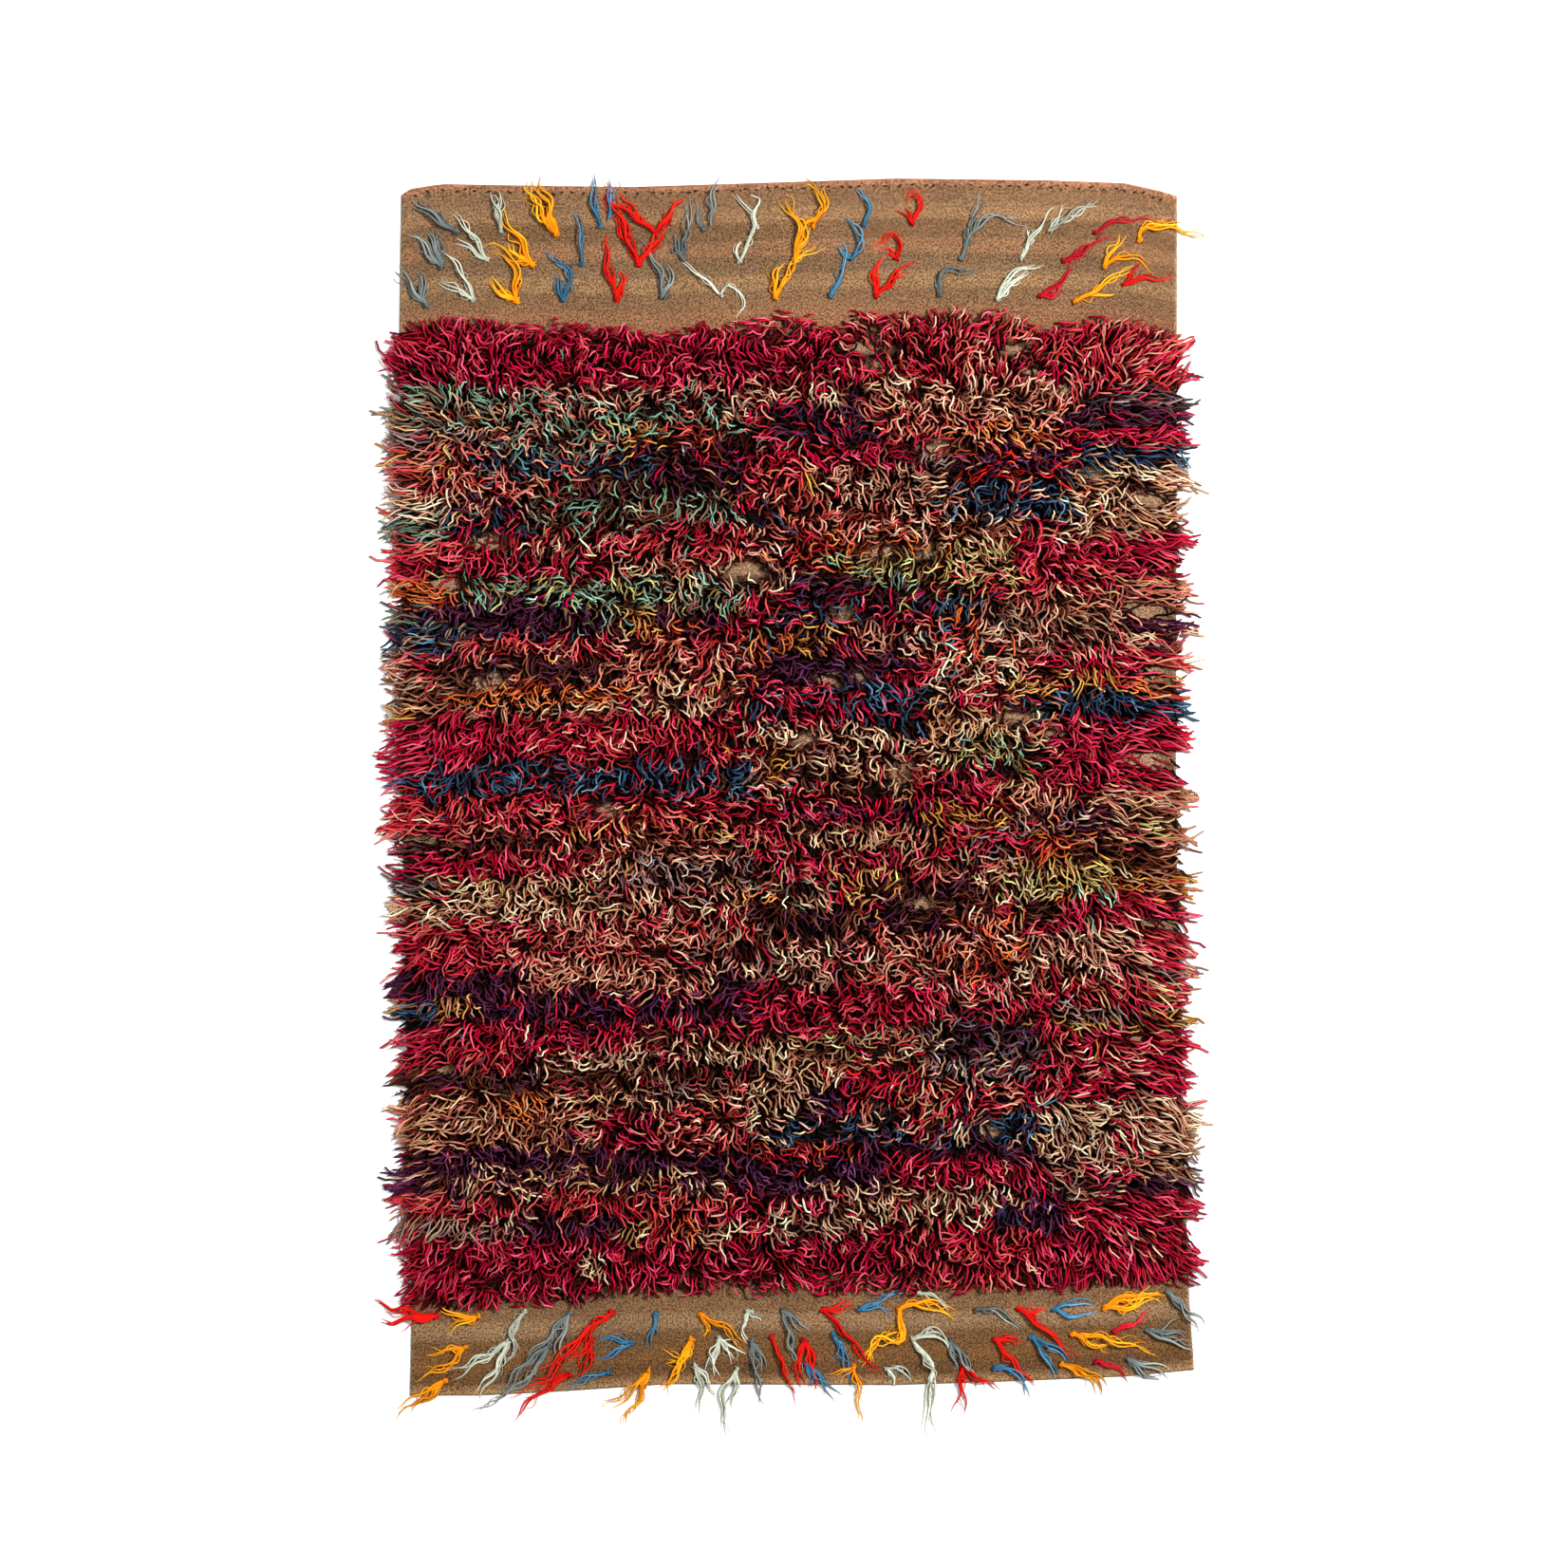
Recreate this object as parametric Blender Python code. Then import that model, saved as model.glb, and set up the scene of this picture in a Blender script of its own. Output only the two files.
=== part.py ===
"""Kilim rug lying flat: a flat-woven ground cloth with a hemmed end, a shag field over its middle,
and rows of wool tufts knotted into its two flat-woven ends. Metres, +Z up, +Y towards the hem."""

import math

import bmesh
import bpy
import numpy as np
from mathutils import Vector, noise

MM = 0.001

# Ground cloth
CLOTH_THICK = 3.0 * MM
HEM_THICK = 5.0 * MM
HEM_WIDE = 17.0 * MM
HEM_FOLD_THICK = 4.0 * MM
EDGE_THICK = 2.0 * MM
EDGE_WIDE = 7.2 * MM
WEAVE_DIP = 0.6 * MM
WEAVE_DIP_SIZE = 80.0 * MM
GAP = 0.3 * MM

# A place on the crooked outline is found from its shares across and along it, in this many rounds
ROUNDS = 3

# Layers of the smooth unevenness, one for each use, so that they differ from each other
WEAVE_LAYER = 3.0
LUMP_LAYER = 1.0
SMALL_LUMP_LAYER = 7.0
LOCK_LAYER = 5.0

# Outline of the cloth in millimetres from the rug's middle. A hand-woven cloth isn't square.
# Columns: place along the edge, distance out from the middle line.
TOP_EDGE = (
    (-606, 938), (-588, 949), (-541, 957), (-365, 954), (-247, 952), (-12, 960),
    (165, 966), (400, 963), (518, 958), (577, 945), (600, 937),
)
BOTTOM_EDGE = (
    (-590, 920), (-482, 920), (-365, 914), (-188, 902), (165, 904), (341, 898),
    (518, 891), (625, 880),
)
LEFT_EDGE = ((-920, 590), (-850, 587), (-780, 591), (-600, 597), (0, 602), (740, 606), (940, 602))
RIGHT_EDGE = ((-880, 625), (-830, 620), (-770, 617), (-400, 605), (0, 597), (740, 599), (940, 599))

# Rows of faces across the two flat-woven ends, as distances in from the end of the cloth
HEMMED_END_ROWS = (0, 4, 14, 19, 60, 100, 140, 180, 214)
PLAIN_END_ROWS = (0, 4, 40, 75, 110, 136)
MIDDLE_ROWS = 4
CLOTH_COLUMNS = 16

# Shag field
PILE_ROWS = 36
STEPS_A_ROW = 3
PILE_COLUMNS = 20
PILE_FROM_HEM = 215.0 * MM
PILE_FROM_PLAIN_END = 141.0 * MM
PILE_SIDE_INSET = 6.0 * MM
PILE_LOW = 13.0 * MM
PILE_RIDGE = 6.0 * MM
PILE_LUMP = 15.0 * MM
PILE_RIM = 10.0 * MM
RIM_SLOPE = 55.0 * MM
LUMP_SIZE = 130.0 * MM
SMALL_LUMP = 0.35
SMALL_LUMP_SIZE = 56.5 * MM
BARE_DEPTH = 0.75

# Thin places where the ground shows through the shag. Columns: x, y, half width, half length, mm.
BARE_PLACES = (
    (-462, 402, 45, 18),
    (-537, 336, 35, 16),
    (-450, 183, 60, 18),
    (-78, 352, 40, 20),
    (466, 507, 45, 22),
    (113, 433, 40, 20),
    (407, 88, 45, 20),
    (562, 201, 40, 16),
    (562, 62, 45, 18),
    (562, -192, 40, 14),
    (-541, -412, 35, 14),
    (-431, -449, 40, 16),
)

# Locks at the shag's sides, which hang over the cloth's edge and lie on the floor
SIDE_LOCK_REACH = (22.0 * MM, 46.0 * MM)
SIDE_LOCK_SPREAD = 0.9
SIDE_LOCK_SPREAD_SIZE = 30.0 * MM
SIDE_LOCK_WIDE = 10.0 * MM
SIDE_LOCK_MEET = 2.5 * MM
PAST_EDGE = 9.0 * MM
# Columns: share of the reach, height of the middle, share of the width, thickness.
SIDE_LOCK_SECTIONS = (
    (0.22, 7.4 * MM, 1.00, 6.0 * MM),
    (0.66, 2.4 * MM, 0.75, 4.8 * MM),
    (1.00, 1.0 * MM, 0.25, 2.0 * MM),
)

# Locks at the shag's ends, which lie out over the flat-woven cloth. Those at the plain end lie
# higher, because the first row of tufts starts below them.
TOP_LOCK_REACH = (11.0 * MM, 22.0 * MM)
BOTTOM_LOCK_REACH = (12.0 * MM, 21.0 * MM)
TOP_LOCK_LIFT = 0.3 * MM
BOTTOM_LOCK_LIFT = 5.0 * MM
END_LOCK_BARE_WALL = 4
END_LOCK_REACH_BEAT = 2.4
END_LOCK_LEAN_BEAT = 1.7
END_LOCK_FAN = 0.35
END_LOCK_LEAN = 0.15
# Columns: share of the reach, width, thickness.
END_LOCK_SECTIONS = (
    (0.4, 20.0 * MM, 4.5 * MM),
    (1.0, 5.0 * MM, 2.0 * MM),
)

# Tufts
STRIP_WIDE = 8.0 * MM
STRIP_THICK = 1.2 * MM
STRIP_TAIL = 14.0 * MM
TUFT_ROOT_WIDE = 10.0 * MM
TUFT_ROOT_LIFT = 0.24 * MM
TIP_THICK = 1.6 * MM
# Columns: share of the reach, share of the lean, width, thickness.
TUFT_SECTIONS = (
    (0.20, 0.55, 12.0 * MM, 3.4 * MM),
    (0.58, 0.90, 14.0 * MM, 3.0 * MM),
    (1.00, 1.00, 3.0 * MM, TIP_THICK),
)
RISE_OUTER_ROW = 0.07
RISE_INNER_ROW = 0.12

# A tuft that ends this far past the cloth drops to the floor. Its other sections first slide out
# along it in small shares of the reach until they too are over the edge.
SHORTEST_DROP = 12.0 * MM
OVER_EDGE = 3.0 * MM
SLIDE = 0.01
LAST_SLIDE = 0.95
TURN_THAT_SLIDES = 0.6

# Rows of tufts, named from the cloth's end inwards at the top and from the shag outwards at the
# bottom. A row starts with 1 where its tufts point to the hem and -1 where they point away from it.
# Columns of a tuft: x and y of its root in mm, lean from straight outwards in degrees (positive to
# the right), reach in mm.
TUFT_ROWS = {
    "tufts_top_1": (1, (
        (-521, 884, -52, 94), (-450, 882, -8, 74), (-363, 878, -24, 92), (-293, 879, -2, 84),
        (-207, 879, -50, 104), (-135, 884, 18, 97), (-50, 889, -17, 34), (35, 889, -15, 80),
        (112, 893, -14, 70), (187, 895, 5, 48), (400, 884, 57, 96), (472, 883, 74, 94),
        (540, 871, 80, 110),
    )),
    "tufts_top_2": (1, (
        (-541, 827, -42, 76), (-469, 835, -36, 100), (-400, 829, -30, 96), (-324, 831, -9, 72),
        (-237, 830, -16, 118), (-168, 837, 4, 100), (-79, 836, -8, 104), (1, 840, -11, 94),
        (94, 840, -10, 56), (162, 840, -16, 46), (265, 837, 22, 96), (357, 840, 33, 94),
        (424, 836, 56, 82), (485, 829, 52, 66), (519, 801, 74, 78),
    )),
    "tufts_top_3": (1, (
        (-560, 768, -38, 78), (-491, 777, -30, 92), (-425, 776, -40, 60), (-350, 777, -22, 72),
        (-269, 776, -10, 104), (-200, 780, -18, 92), (-109, 783, -50, 74), (-24, 780, 34, 96),
        (60, 783, 20, 62), (132, 783, 24, 66), (232, 784, 38, 62), (321, 779, 46, 92),
        (387, 783, 44, 84), (441, 774, 58, 100),
    )),
    "tufts_bottom_1": (-1, (
        (-551, -793, -86, 100), (-484, -795, -66, 62), (-412, -791, -30, 112), (-340, -790, -34, 84),
        (-272, -790, -46, 146), (-207, -792, -16, 64), (-141, -793, 52, 88), (-66, -788, 4, 66),
        (-12, -789, 14, 106), (49, -789, 42, 138), (106, -788, 80, 34), (162, -785, 80, 86),
        (290, -785, 64, 84), (353, -785, 50, 104), (404, -785, 76, 62), (485, -780, 82, 84),
        (581, -763, 46, 82),
    )),
    "tufts_bottom_2": (-1, (
        (-503, -840, -58, 70), (-435, -836, -52, 124), (-372, -846, -45, 112), (-307, -833, -45, 102),
        (-243, -842, -78, 46), (-156, -837, -34, 64), (-112, -836, -15, 64), (-60, -841, 2, 92),
        (-30, -832, 24, 108), (22, -836, 4, 78), (66, -824, 19, 86), (135, -832, -20, 54),
        (190, -836, 45, 64), (247, -836, 27, 90), (316, -833, 41, 102), (374, -829, 33, 84),
        (451, -824, 74, 106), (500, -821, 80, 36), (551, -819, 68, 80),
    )),
    "tufts_bottom_3": (-1, (
        (-535, -896, -56, 90), (-343, -886, -50, 104), (-282, -879, -64, 66), (-219, -877, -38, 92),
        (-149, -873, -4, 70), (-84, -880, -7, 106), (25, -871, 38, 66), (97, -876, 7, 82),
        (150, -879, 50, 42), (209, -876, 6, 98), (252, -886, -12, 66), (316, -876, 50, 62),
        (422, -871, 44, 78), (476, -865, 60, 58), (522, -865, 68, 72),
    )),
}
OUTER_ROWS = ("tufts_top_1", "tufts_bottom_3")

COLOURS = {
    "ground": (0.30, 0.21, 0.14),
    "pile": (0.42, 0.03, 0.06),
    "tufts_top_1": (0.80, 0.30, 0.02),
    "tufts_top_2": (0.62, 0.60, 0.50),
    "tufts_top_3": (0.70, 0.02, 0.02),
    "tufts_bottom_1": (0.70, 0.02, 0.02),
    "tufts_bottom_2": (0.12, 0.24, 0.36),
    "tufts_bottom_3": (0.80, 0.30, 0.02),
}


def along(edge, place):
    """Distance of an edge from the rug's middle line, in metres, at a place along it."""
    places, out = zip(*edge)
    return np.interp(place / MM, places, out) * MM


def top_y(x):
    return along(TOP_EDGE, x)


def bottom_y(x):
    return -along(BOTTOM_EDGE, x)


def left_x(y):
    return -along(LEFT_EDGE, y)


def right_x(y):
    return along(RIGHT_EDGE, y)


def inside(x, y):
    """How far a place is inside the cloth's outline; negative beyond it."""
    return min(x - left_x(y), right_x(y) - x, top_y(x) - y, y - bottom_y(x))


def wave(x, y, size, seed):
    """Smooth unevenness from -1 to 1 that changes over about the given size."""
    return noise.noise(Vector((x / size, y / size, seed)))


def clear_scene():
    for item in list(bpy.data.objects):
        bpy.data.objects.remove(item, do_unlink=True)


def finish(bm, name):
    """Makes the object of a closed mesh and gives it its own material."""
    bmesh.ops.recalc_face_normals(bm, faces=bm.faces)
    mesh = bpy.data.meshes.new(name)
    bm.to_mesh(mesh)
    bm.free()
    material = bpy.data.materials.new(name)
    material.use_nodes = True
    shader = material.node_tree.nodes["Principled BSDF"]
    shader.inputs["Base Color"].default_value = (*COLOURS[name], 1.0)
    shader.inputs["Roughness"].default_value = 0.9
    shader.inputs["Metallic"].default_value = 0.0
    mesh.materials.append(material)
    made = bpy.data.objects.new(name, mesh)
    bpy.context.scene.collection.objects.link(made)
    return made


def sheet_of(rows):
    """An open sheet of faces through rows of points, with its rows of vertices."""
    bm = bmesh.new()
    grid = [[bm.verts.new(point) for point in row] for row in rows]
    for low, high in zip(grid, grid[1:]):
        for i in range(len(low) - 1):
            bm.faces.new((low[i], low[i + 1], high[i + 1], high[i]))
    return bm, grid


def close_below(bm, level):
    """Drops walls from the rim of an open sheet and closes them with one flat face."""
    rim = [edge for edge in bm.edges if edge.is_boundary]
    made = bmesh.ops.extrude_edge_only(bm, edges=rim)["geom"]
    for vert in made:
        if isinstance(vert, bmesh.types.BMVert):
            vert.co.z = level
    foot = [edge for edge in bm.edges if edge.is_boundary]
    bmesh.ops.holes_fill(bm, edges=foot)
    return [face for face in made if isinstance(face, bmesh.types.BMFace)]


def cloth_height(x, y, on_side, on_end):
    """Height of the cloth's face: a hem at one end, an uneven weave, thin sides and plain end."""
    if on_side:
        return EDGE_THICK
    if top_y(x) - y < HEM_WIDE:
        return HEM_FOLD_THICK if on_end else HEM_THICK
    if on_end:
        return EDGE_THICK
    return CLOTH_THICK - WEAVE_DIP * (0.5 + 0.5 * wave(x, y, WEAVE_DIP_SIZE, WEAVE_LAYER))


def cloth_place(share, kind, value):
    """Place on the cloth from its share across and its distance from an end, or share between."""
    x = left_x(0) + share * (right_x(0) - left_x(0))
    for _ in range(ROUNDS):
        low = bottom_y(x) + PLAIN_END_ROWS[-1] * MM
        high = top_y(x) - HEMMED_END_ROWS[-1] * MM
        y = {
            "bottom": bottom_y(x) + value,
            "middle": low + value * (high - low),
            "top": top_y(x) - value,
        }[kind]
        x = left_x(y) + share * (right_x(y) - left_x(y))
    return x, y


def make_ground():
    edge = EDGE_WIDE / (right_x(0) - left_x(0))
    shares = (0.0, edge, *np.linspace(0, 1, CLOTH_COLUMNS - 1)[1:-1], 1.0 - edge, 1.0)
    places = [("bottom", row * MM) for row in PLAIN_END_ROWS]
    places += [("middle", step / (MIDDLE_ROWS + 1)) for step in range(1, MIDDLE_ROWS + 1)]
    places += [("top", row * MM) for row in reversed(HEMMED_END_ROWS)]
    rows = []
    for kind, value in places:
        row = []
        for share in shares:
            x, y = cloth_place(share, kind, value)
            row.append((x, y, cloth_height(x, y, share in (0.0, 1.0), value == 0)))
        rows.append(row)
    bm, _ = sheet_of(rows)
    close_below(bm, 0.0)
    return finish(bm, "ground")


def bareness(x, y):
    """0 in full shag, up to 1 in the middle of a thin place."""
    most = 0.0
    for place_x, place_y, wide, long in BARE_PLACES:
        away = ((x / MM - place_x) / wide) ** 2 + ((y / MM - place_y) / long) ** 2
        most = max(most, math.exp(-away))
    return most


def pile_height(x, y, row, from_rim):
    """Height of the shag: a ridge for each row of knots, lumps, thin places and a low rim."""
    ridge = 0.5 - 0.5 * math.cos(2 * math.pi * row)
    lump = 0.5 + 0.5 * wave(x, y, LUMP_SIZE, LUMP_LAYER)
    lump += SMALL_LUMP * wave(x, y, SMALL_LUMP_SIZE, SMALL_LUMP_LAYER)
    height = PILE_LOW + PILE_RIDGE * ridge + PILE_LUMP * max(lump, 0.0)
    rim = min(from_rim / RIM_SLOPE, 1.0)
    height = PILE_RIM + (height - PILE_RIM) * math.sin(rim * math.pi / 2)
    return CLOTH_THICK + GAP + height * (1 - BARE_DEPTH * bareness(x, y))


def pile_point(share_x, share_y):
    """Place on the shag's face from its shares across and along the field."""
    x = left_x(0) + share_x * (right_x(0) - left_x(0))
    for _ in range(ROUNDS):
        low = bottom_y(x) + PILE_FROM_PLAIN_END
        high = top_y(x) - PILE_FROM_HEM
        y = low + share_y * (high - low)
        left = left_x(y) + PILE_SIDE_INSET
        right = right_x(y) - PILE_SIDE_INSET
        x = left + share_x * (right - left)
    from_rim = min(x - left, right - x, y - low, high - y)
    return x, y, pile_height(x, y, share_y * PILE_ROWS, from_rim)


def grow_lock(bm, face, sections):
    """Pulls a lock out of a wall's face through sections of (middle, side way, width, thickness)."""
    for middle, side, width, thick in sections:
        face = bmesh.ops.extrude_discrete_faces(bm, faces=[face])["faces"][0]
        centre = face.calc_center_median()
        for vert in face.verts:
            offset = vert.co - centre
            across = math.copysign(width / 2, offset.dot(side))
            up = math.copysign(thick / 2, offset.z)
            vert.co = middle + side * across + Vector((0, 0, up))


def side_lock(face, outward, step):
    """Sections of a lock that hangs over the cloth's side and lies level on the floor."""
    start = face.calc_center_median()
    shortest, longest = SIDE_LOCK_REACH
    spread = SIDE_LOCK_SPREAD * wave(start.x, start.y, SIDE_LOCK_SPREAD_SIZE, LOCK_LAYER)
    reach = shortest + (longest - shortest) * min(max(0.5 + spread, 0.0), 1.0)
    meet = SIDE_LOCK_MEET if step % STEPS_A_ROW == 0 else -SIDE_LOCK_MEET
    sections = []
    for share, lift, wide, thick in SIDE_LOCK_SECTIONS:
        out = max(share * reach, PAST_EDGE)
        middle = Vector((start.x + outward * out, start.y + meet * share, lift))
        sections.append((middle, Vector((0, 1, 0)), SIDE_LOCK_WIDE * wide, thick))
    return sections


def end_lock(face, outward, step):
    """Sections of a short lock that lies out over the flat-woven end of the cloth."""
    start = face.calc_center_median()
    shortest, longest = TOP_LOCK_REACH if outward > 0 else BOTTOM_LOCK_REACH
    lift = TOP_LOCK_LIFT if outward > 0 else BOTTOM_LOCK_LIFT
    reach = shortest + (longest - shortest) * (0.5 + 0.5 * math.sin(END_LOCK_REACH_BEAT * step))
    lean = END_LOCK_FAN * start.x / right_x(0) + END_LOCK_LEAN * math.sin(END_LOCK_LEAN_BEAT * step)
    way = Vector((math.sin(lean), outward * math.cos(lean), 0))
    side = Vector((way.y, -way.x, 0))
    sections = []
    for share, width, thick in END_LOCK_SECTIONS:
        middle = start + way * reach * share
        middle.z = CLOTH_THICK + GAP + lift + thick / 2
        sections.append((middle, side, width, thick))
    return sections


def make_pile():
    steps = PILE_ROWS * STEPS_A_ROW
    rows = []
    for j in range(steps + 1):
        rows.append([pile_point(i / PILE_COLUMNS, j / steps) for i in range(PILE_COLUMNS + 1)])
    bm, grid = sheet_of(rows)
    ends = []
    for row in (grid[0], grid[-1]):
        ends += [bm.edges.get(pair) for pair in zip(row, row[1:])]
    bmesh.ops.subdivide_edges(bm, edges=ends, cuts=1)
    walls = close_below(bm, CLOTH_THICK + GAP)
    sides = {-1: [], 1: []}
    end_walls = {-1: [], 1: []}
    for wall in walls:
        wall.normal_update()
        middle = wall.calc_center_median()
        if abs(wall.normal.x) > abs(wall.normal.y):
            sides[1 if middle.x > 0 else -1].append(wall)
        else:
            end_walls[1 if middle.y > 0 else -1].append(wall)
    for outward, found in sides.items():
        found.sort(key=lambda face: face.calc_center_median().y)
        for step, wall in enumerate(found):
            if (step + 1) % STEPS_A_ROW:
                grow_lock(bm, wall, side_lock(wall, outward, step))
    for outward, found in end_walls.items():
        found.sort(key=lambda face: face.calc_center_median().x)
        for step, wall in enumerate(found):
            if (step + 1) % END_LOCK_BARE_WALL:
                grow_lock(bm, wall, end_lock(wall, outward, step))
    return finish(bm, "pile")


def tuft_sections(start, outward, lean, reach, rise):
    """Sections of one tuft, which drops to the floor where it passes the edge of the cloth."""
    def place(share, turn):
        angle = math.radians(lean) * turn
        return start + Vector((math.sin(angle), outward * math.cos(angle), 0)) * reach * share

    drops = inside(*place(1.0, 1.0).xy) < -SHORTEST_DROP
    sections = []
    for share, turn, width, thick in TUFT_SECTIONS:
        middle = place(share, turn)
        if drops and share < 1.0:
            while share < LAST_SLIDE and inside(*middle.xy) > -OVER_EDGE and turn > TURN_THAT_SLIDES:
                share += SLIDE
                middle = place(share, turn)
        way = middle - (sections[-1][0] if sections else start)
        side = Vector((way.y, -way.x, 0)).normalized()
        foot = CLOTH_THICK + GAP + TUFT_ROOT_LIFT + rise * reach * share
        if drops and share >= 1.0:
            foot = 0.0
        middle.z = foot + thick / 2
        sections.append((middle, side, width, thick))
    return sections


def make_tuft_row(name, outward, tufts):
    """A narrow strip along the row with each tuft pulled out of its outer side."""
    roots = [Vector((x * MM, y * MM, CLOTH_THICK + GAP)) for x, y, _, _ in tufts]
    tail = Vector((STRIP_TAIL, 0, 0))
    half_root = Vector((TUFT_ROOT_WIDE / 2, 0, 0))
    stations = [roots[0] - tail]
    for root in roots:
        stations += [root - half_root, root + half_root]
    stations.append(roots[-1] + tail)
    half = STRIP_WIDE / 2
    bm = bmesh.new()
    rings = []
    for station in stations:
        corners = ((-half, 0), (half, 0), (half, STRIP_THICK), (-half, STRIP_THICK))
        rings.append([bm.verts.new(station + Vector((0, y * outward, z))) for y, z in corners])
    outer = []
    for one, two in zip(rings, rings[1:]):
        walls = [bm.faces.new((one[k], one[k - 3], two[k - 3], two[k])) for k in range(4)]
        outer.append(walls[1])
    bm.faces.new(rings[0][::-1])
    bm.faces.new(rings[-1])
    bmesh.ops.recalc_face_normals(bm, faces=bm.faces)
    rise = RISE_OUTER_ROW if name in OUTER_ROWS else RISE_INNER_ROW
    for face, root, (_, _, lean, reach) in zip(outer[1::2], roots, tufts):
        start = root + Vector((0, half * outward, 0))
        grow_lock(bm, face, tuft_sections(start, outward, lean, reach * MM, rise))
    return finish(bm, name)


def centre(made):
    """Moves every mesh so that the origin is under the middle of the rug."""
    corners = np.array([vert.co for item in made for vert in item.data.vertices])
    middle = (corners.min(axis=0) + corners.max(axis=0)) / 2
    for item in made:
        for vert in item.data.vertices:
            vert.co.x -= middle[0]
            vert.co.y -= middle[1]


def main():
    clear_scene()
    made = [make_ground(), make_pile()]
    for name, (outward, tufts) in TUFT_ROWS.items():
        made.append(make_tuft_row(name, outward, tufts))
    centre(made)


main()
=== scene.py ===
"""Looks of the shag kilim rug: a woven ground cloth with a stitched hem, a field of cut yarn laid
in knot rows, and rows of unspun wool tufts on both ends, on a pale floor seen from straight above."""

import math
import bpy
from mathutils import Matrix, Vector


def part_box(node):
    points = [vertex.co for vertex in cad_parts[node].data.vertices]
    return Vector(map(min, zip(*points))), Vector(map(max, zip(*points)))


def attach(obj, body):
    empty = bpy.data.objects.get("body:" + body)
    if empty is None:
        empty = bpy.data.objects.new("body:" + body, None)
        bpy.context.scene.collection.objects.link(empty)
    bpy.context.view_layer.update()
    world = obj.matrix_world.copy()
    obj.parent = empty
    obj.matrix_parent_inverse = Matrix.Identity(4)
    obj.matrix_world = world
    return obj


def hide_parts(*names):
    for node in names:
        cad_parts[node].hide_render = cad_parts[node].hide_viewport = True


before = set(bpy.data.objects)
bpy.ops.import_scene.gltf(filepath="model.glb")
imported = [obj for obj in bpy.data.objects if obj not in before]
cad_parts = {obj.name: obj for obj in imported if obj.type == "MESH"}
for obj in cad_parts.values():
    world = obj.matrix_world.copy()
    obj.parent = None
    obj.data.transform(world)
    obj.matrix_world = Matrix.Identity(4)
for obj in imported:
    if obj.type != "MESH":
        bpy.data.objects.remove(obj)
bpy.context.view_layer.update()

from types import SimpleNamespace

import bpy
import numpy as np

MM = 0.001
TURN = 2 * math.pi

# The photograph is 1652 pixels square. Places are named in its pixels, y downwards.
PHOTO = 1652
PX = 1.4706 * MM
GROUND_LOW, GROUND_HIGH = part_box("ground")
GROUND_LEFT_PX = 420.9
GROUND_TOP_PX = 187.6

# Outline of the cloth in pixels: place along the edge, place of the edge.
TOP_EDGE = (
    (421, 207), (433, 199), (465, 194), (585, 196), (665, 197), (825, 192), (945, 188),
    (1105, 190), (1185, 193), (1225, 202), (1241, 207),
)
BOTTOM_EDGE = (
    (432, 1470), (505, 1470), (585, 1466), (705, 1458), (945, 1459), (1065, 1455), (1185, 1450), (1258, 1443),
)
LEFT_EDGE = ((205, 423), (266, 422), (341, 421), (845, 424), (1253, 431), (1375, 434), (1470, 432))
RIGHT_EDGE = ((205, 1240), (341, 1240), (845, 1239), (1117, 1244), (1368, 1253), (1443, 1258))

# A first guess at the cloth's left side and width, from which points are moved to their places.
ABOUT_LEFT_PX, ABOUT_WIDE_PX = 423, 820

# Sheet of cloth
CLOTH_THICK = 3.0 * MM
HEM_RISE = 1.8 * MM
HEM_PX = 11.5
SELVEDGE_RISE = 0.5 * MM
SELVEDGE_PX = 4.5
RIM_THICK = 1.7 * MM
RIB_APART = 3.2 * MM
PICK_APART = 3.4 * MM

# Hem stitches, as pixels along the top edge and in from it
STITCHES_FROM, STITCHES_TO = 438.0, 1222
STITCH_LINE_PX = 7.5
STITCH_RADIUS = 1.5 * MM

# Shag
ROWS = 49
KNOTS_A_ROW = 199
STRANDS_A_KNOT = 4
STRAND_APART_PX = 4.7
SEGMENTS = 5
FIELD_FROM_TOP = 149
FIELD_FROM_BOTTOM = 105
# Where the painted shade on the ground under the shag begins, in pixels in from each end.
DARK_FROM_TOP = 156
DARK_FROM_BOTTOM = 108
ROW_APART_PX = 28.6
YARN_RADIUS = 2.0 * MM
YARN_LENGTH_PX = 21
PILE_HIGH_MM = 25
PIECES_OF_SHAG = 4

# Knots lie at four levels in turn, as shares of the pile's height.
KNOT_LEVELS = (0.08, 0.3, 0.55, 0.8)

# Pixels over which the sides comb the strands outwards, and how far those hang past them.
COMB_LEFT_PX, COMB_RIGHT_PX = 26, 50
HANG_LEFT_PX, HANG_RIGHT_PX = (4, 40), (2, 34)

# Curves in two rows, what goes in and what comes out: how far strands lean towards an end by place down the
# field, the pile's height by pixels in from a side and from an end, a strand's width and painted shade from
# root to tip, its painted shade by level in the pile, and how painted light and shade change red and the
# rest.
END_LEAN = ((0, 0.025, 0.06, 0.12, 0.5, 0.88, 0.97, 1), (-1.6, -1.0, -0.3, 0.15, 0.25, 0.4, 1.0, 1.8))
HEIGHT_BY_SIDE = ((-30, -14, 0, 12, 32), (0.10, 0.26, 0.5, 0.72, 1.0))
HEIGHT_BY_END = ((-24, 0, 18, 40), (0.32, 0.5, 0.8, 1.0))
WIDTH_ALONG = ((0, 0.1, 0.9, 1), (0.9, 1.0, 1.0, 0.85))
LIGHT_ALONG = ((0, 0.1, 0.28, 1), (0.1, 0.35, 0.95, 1.0))
LIGHT_BY_LEVEL = ((0.2, 0.5, 0.62, 0.8, 1.0), (0.04, 0.18, 0.48, 1.07, 1.28))
RED_BY_LIGHT = ((0.05, 0.4, 0.9, 1.2, 1.6), (1.25, 1.15, 1.0, 0.92, 0.88))
COOL_BY_LIGHT = ((0.05, 0.4, 0.9, 1.2, 1.6), (0.55, 0.7, 0.97, 1.1, 1.18))

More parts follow.
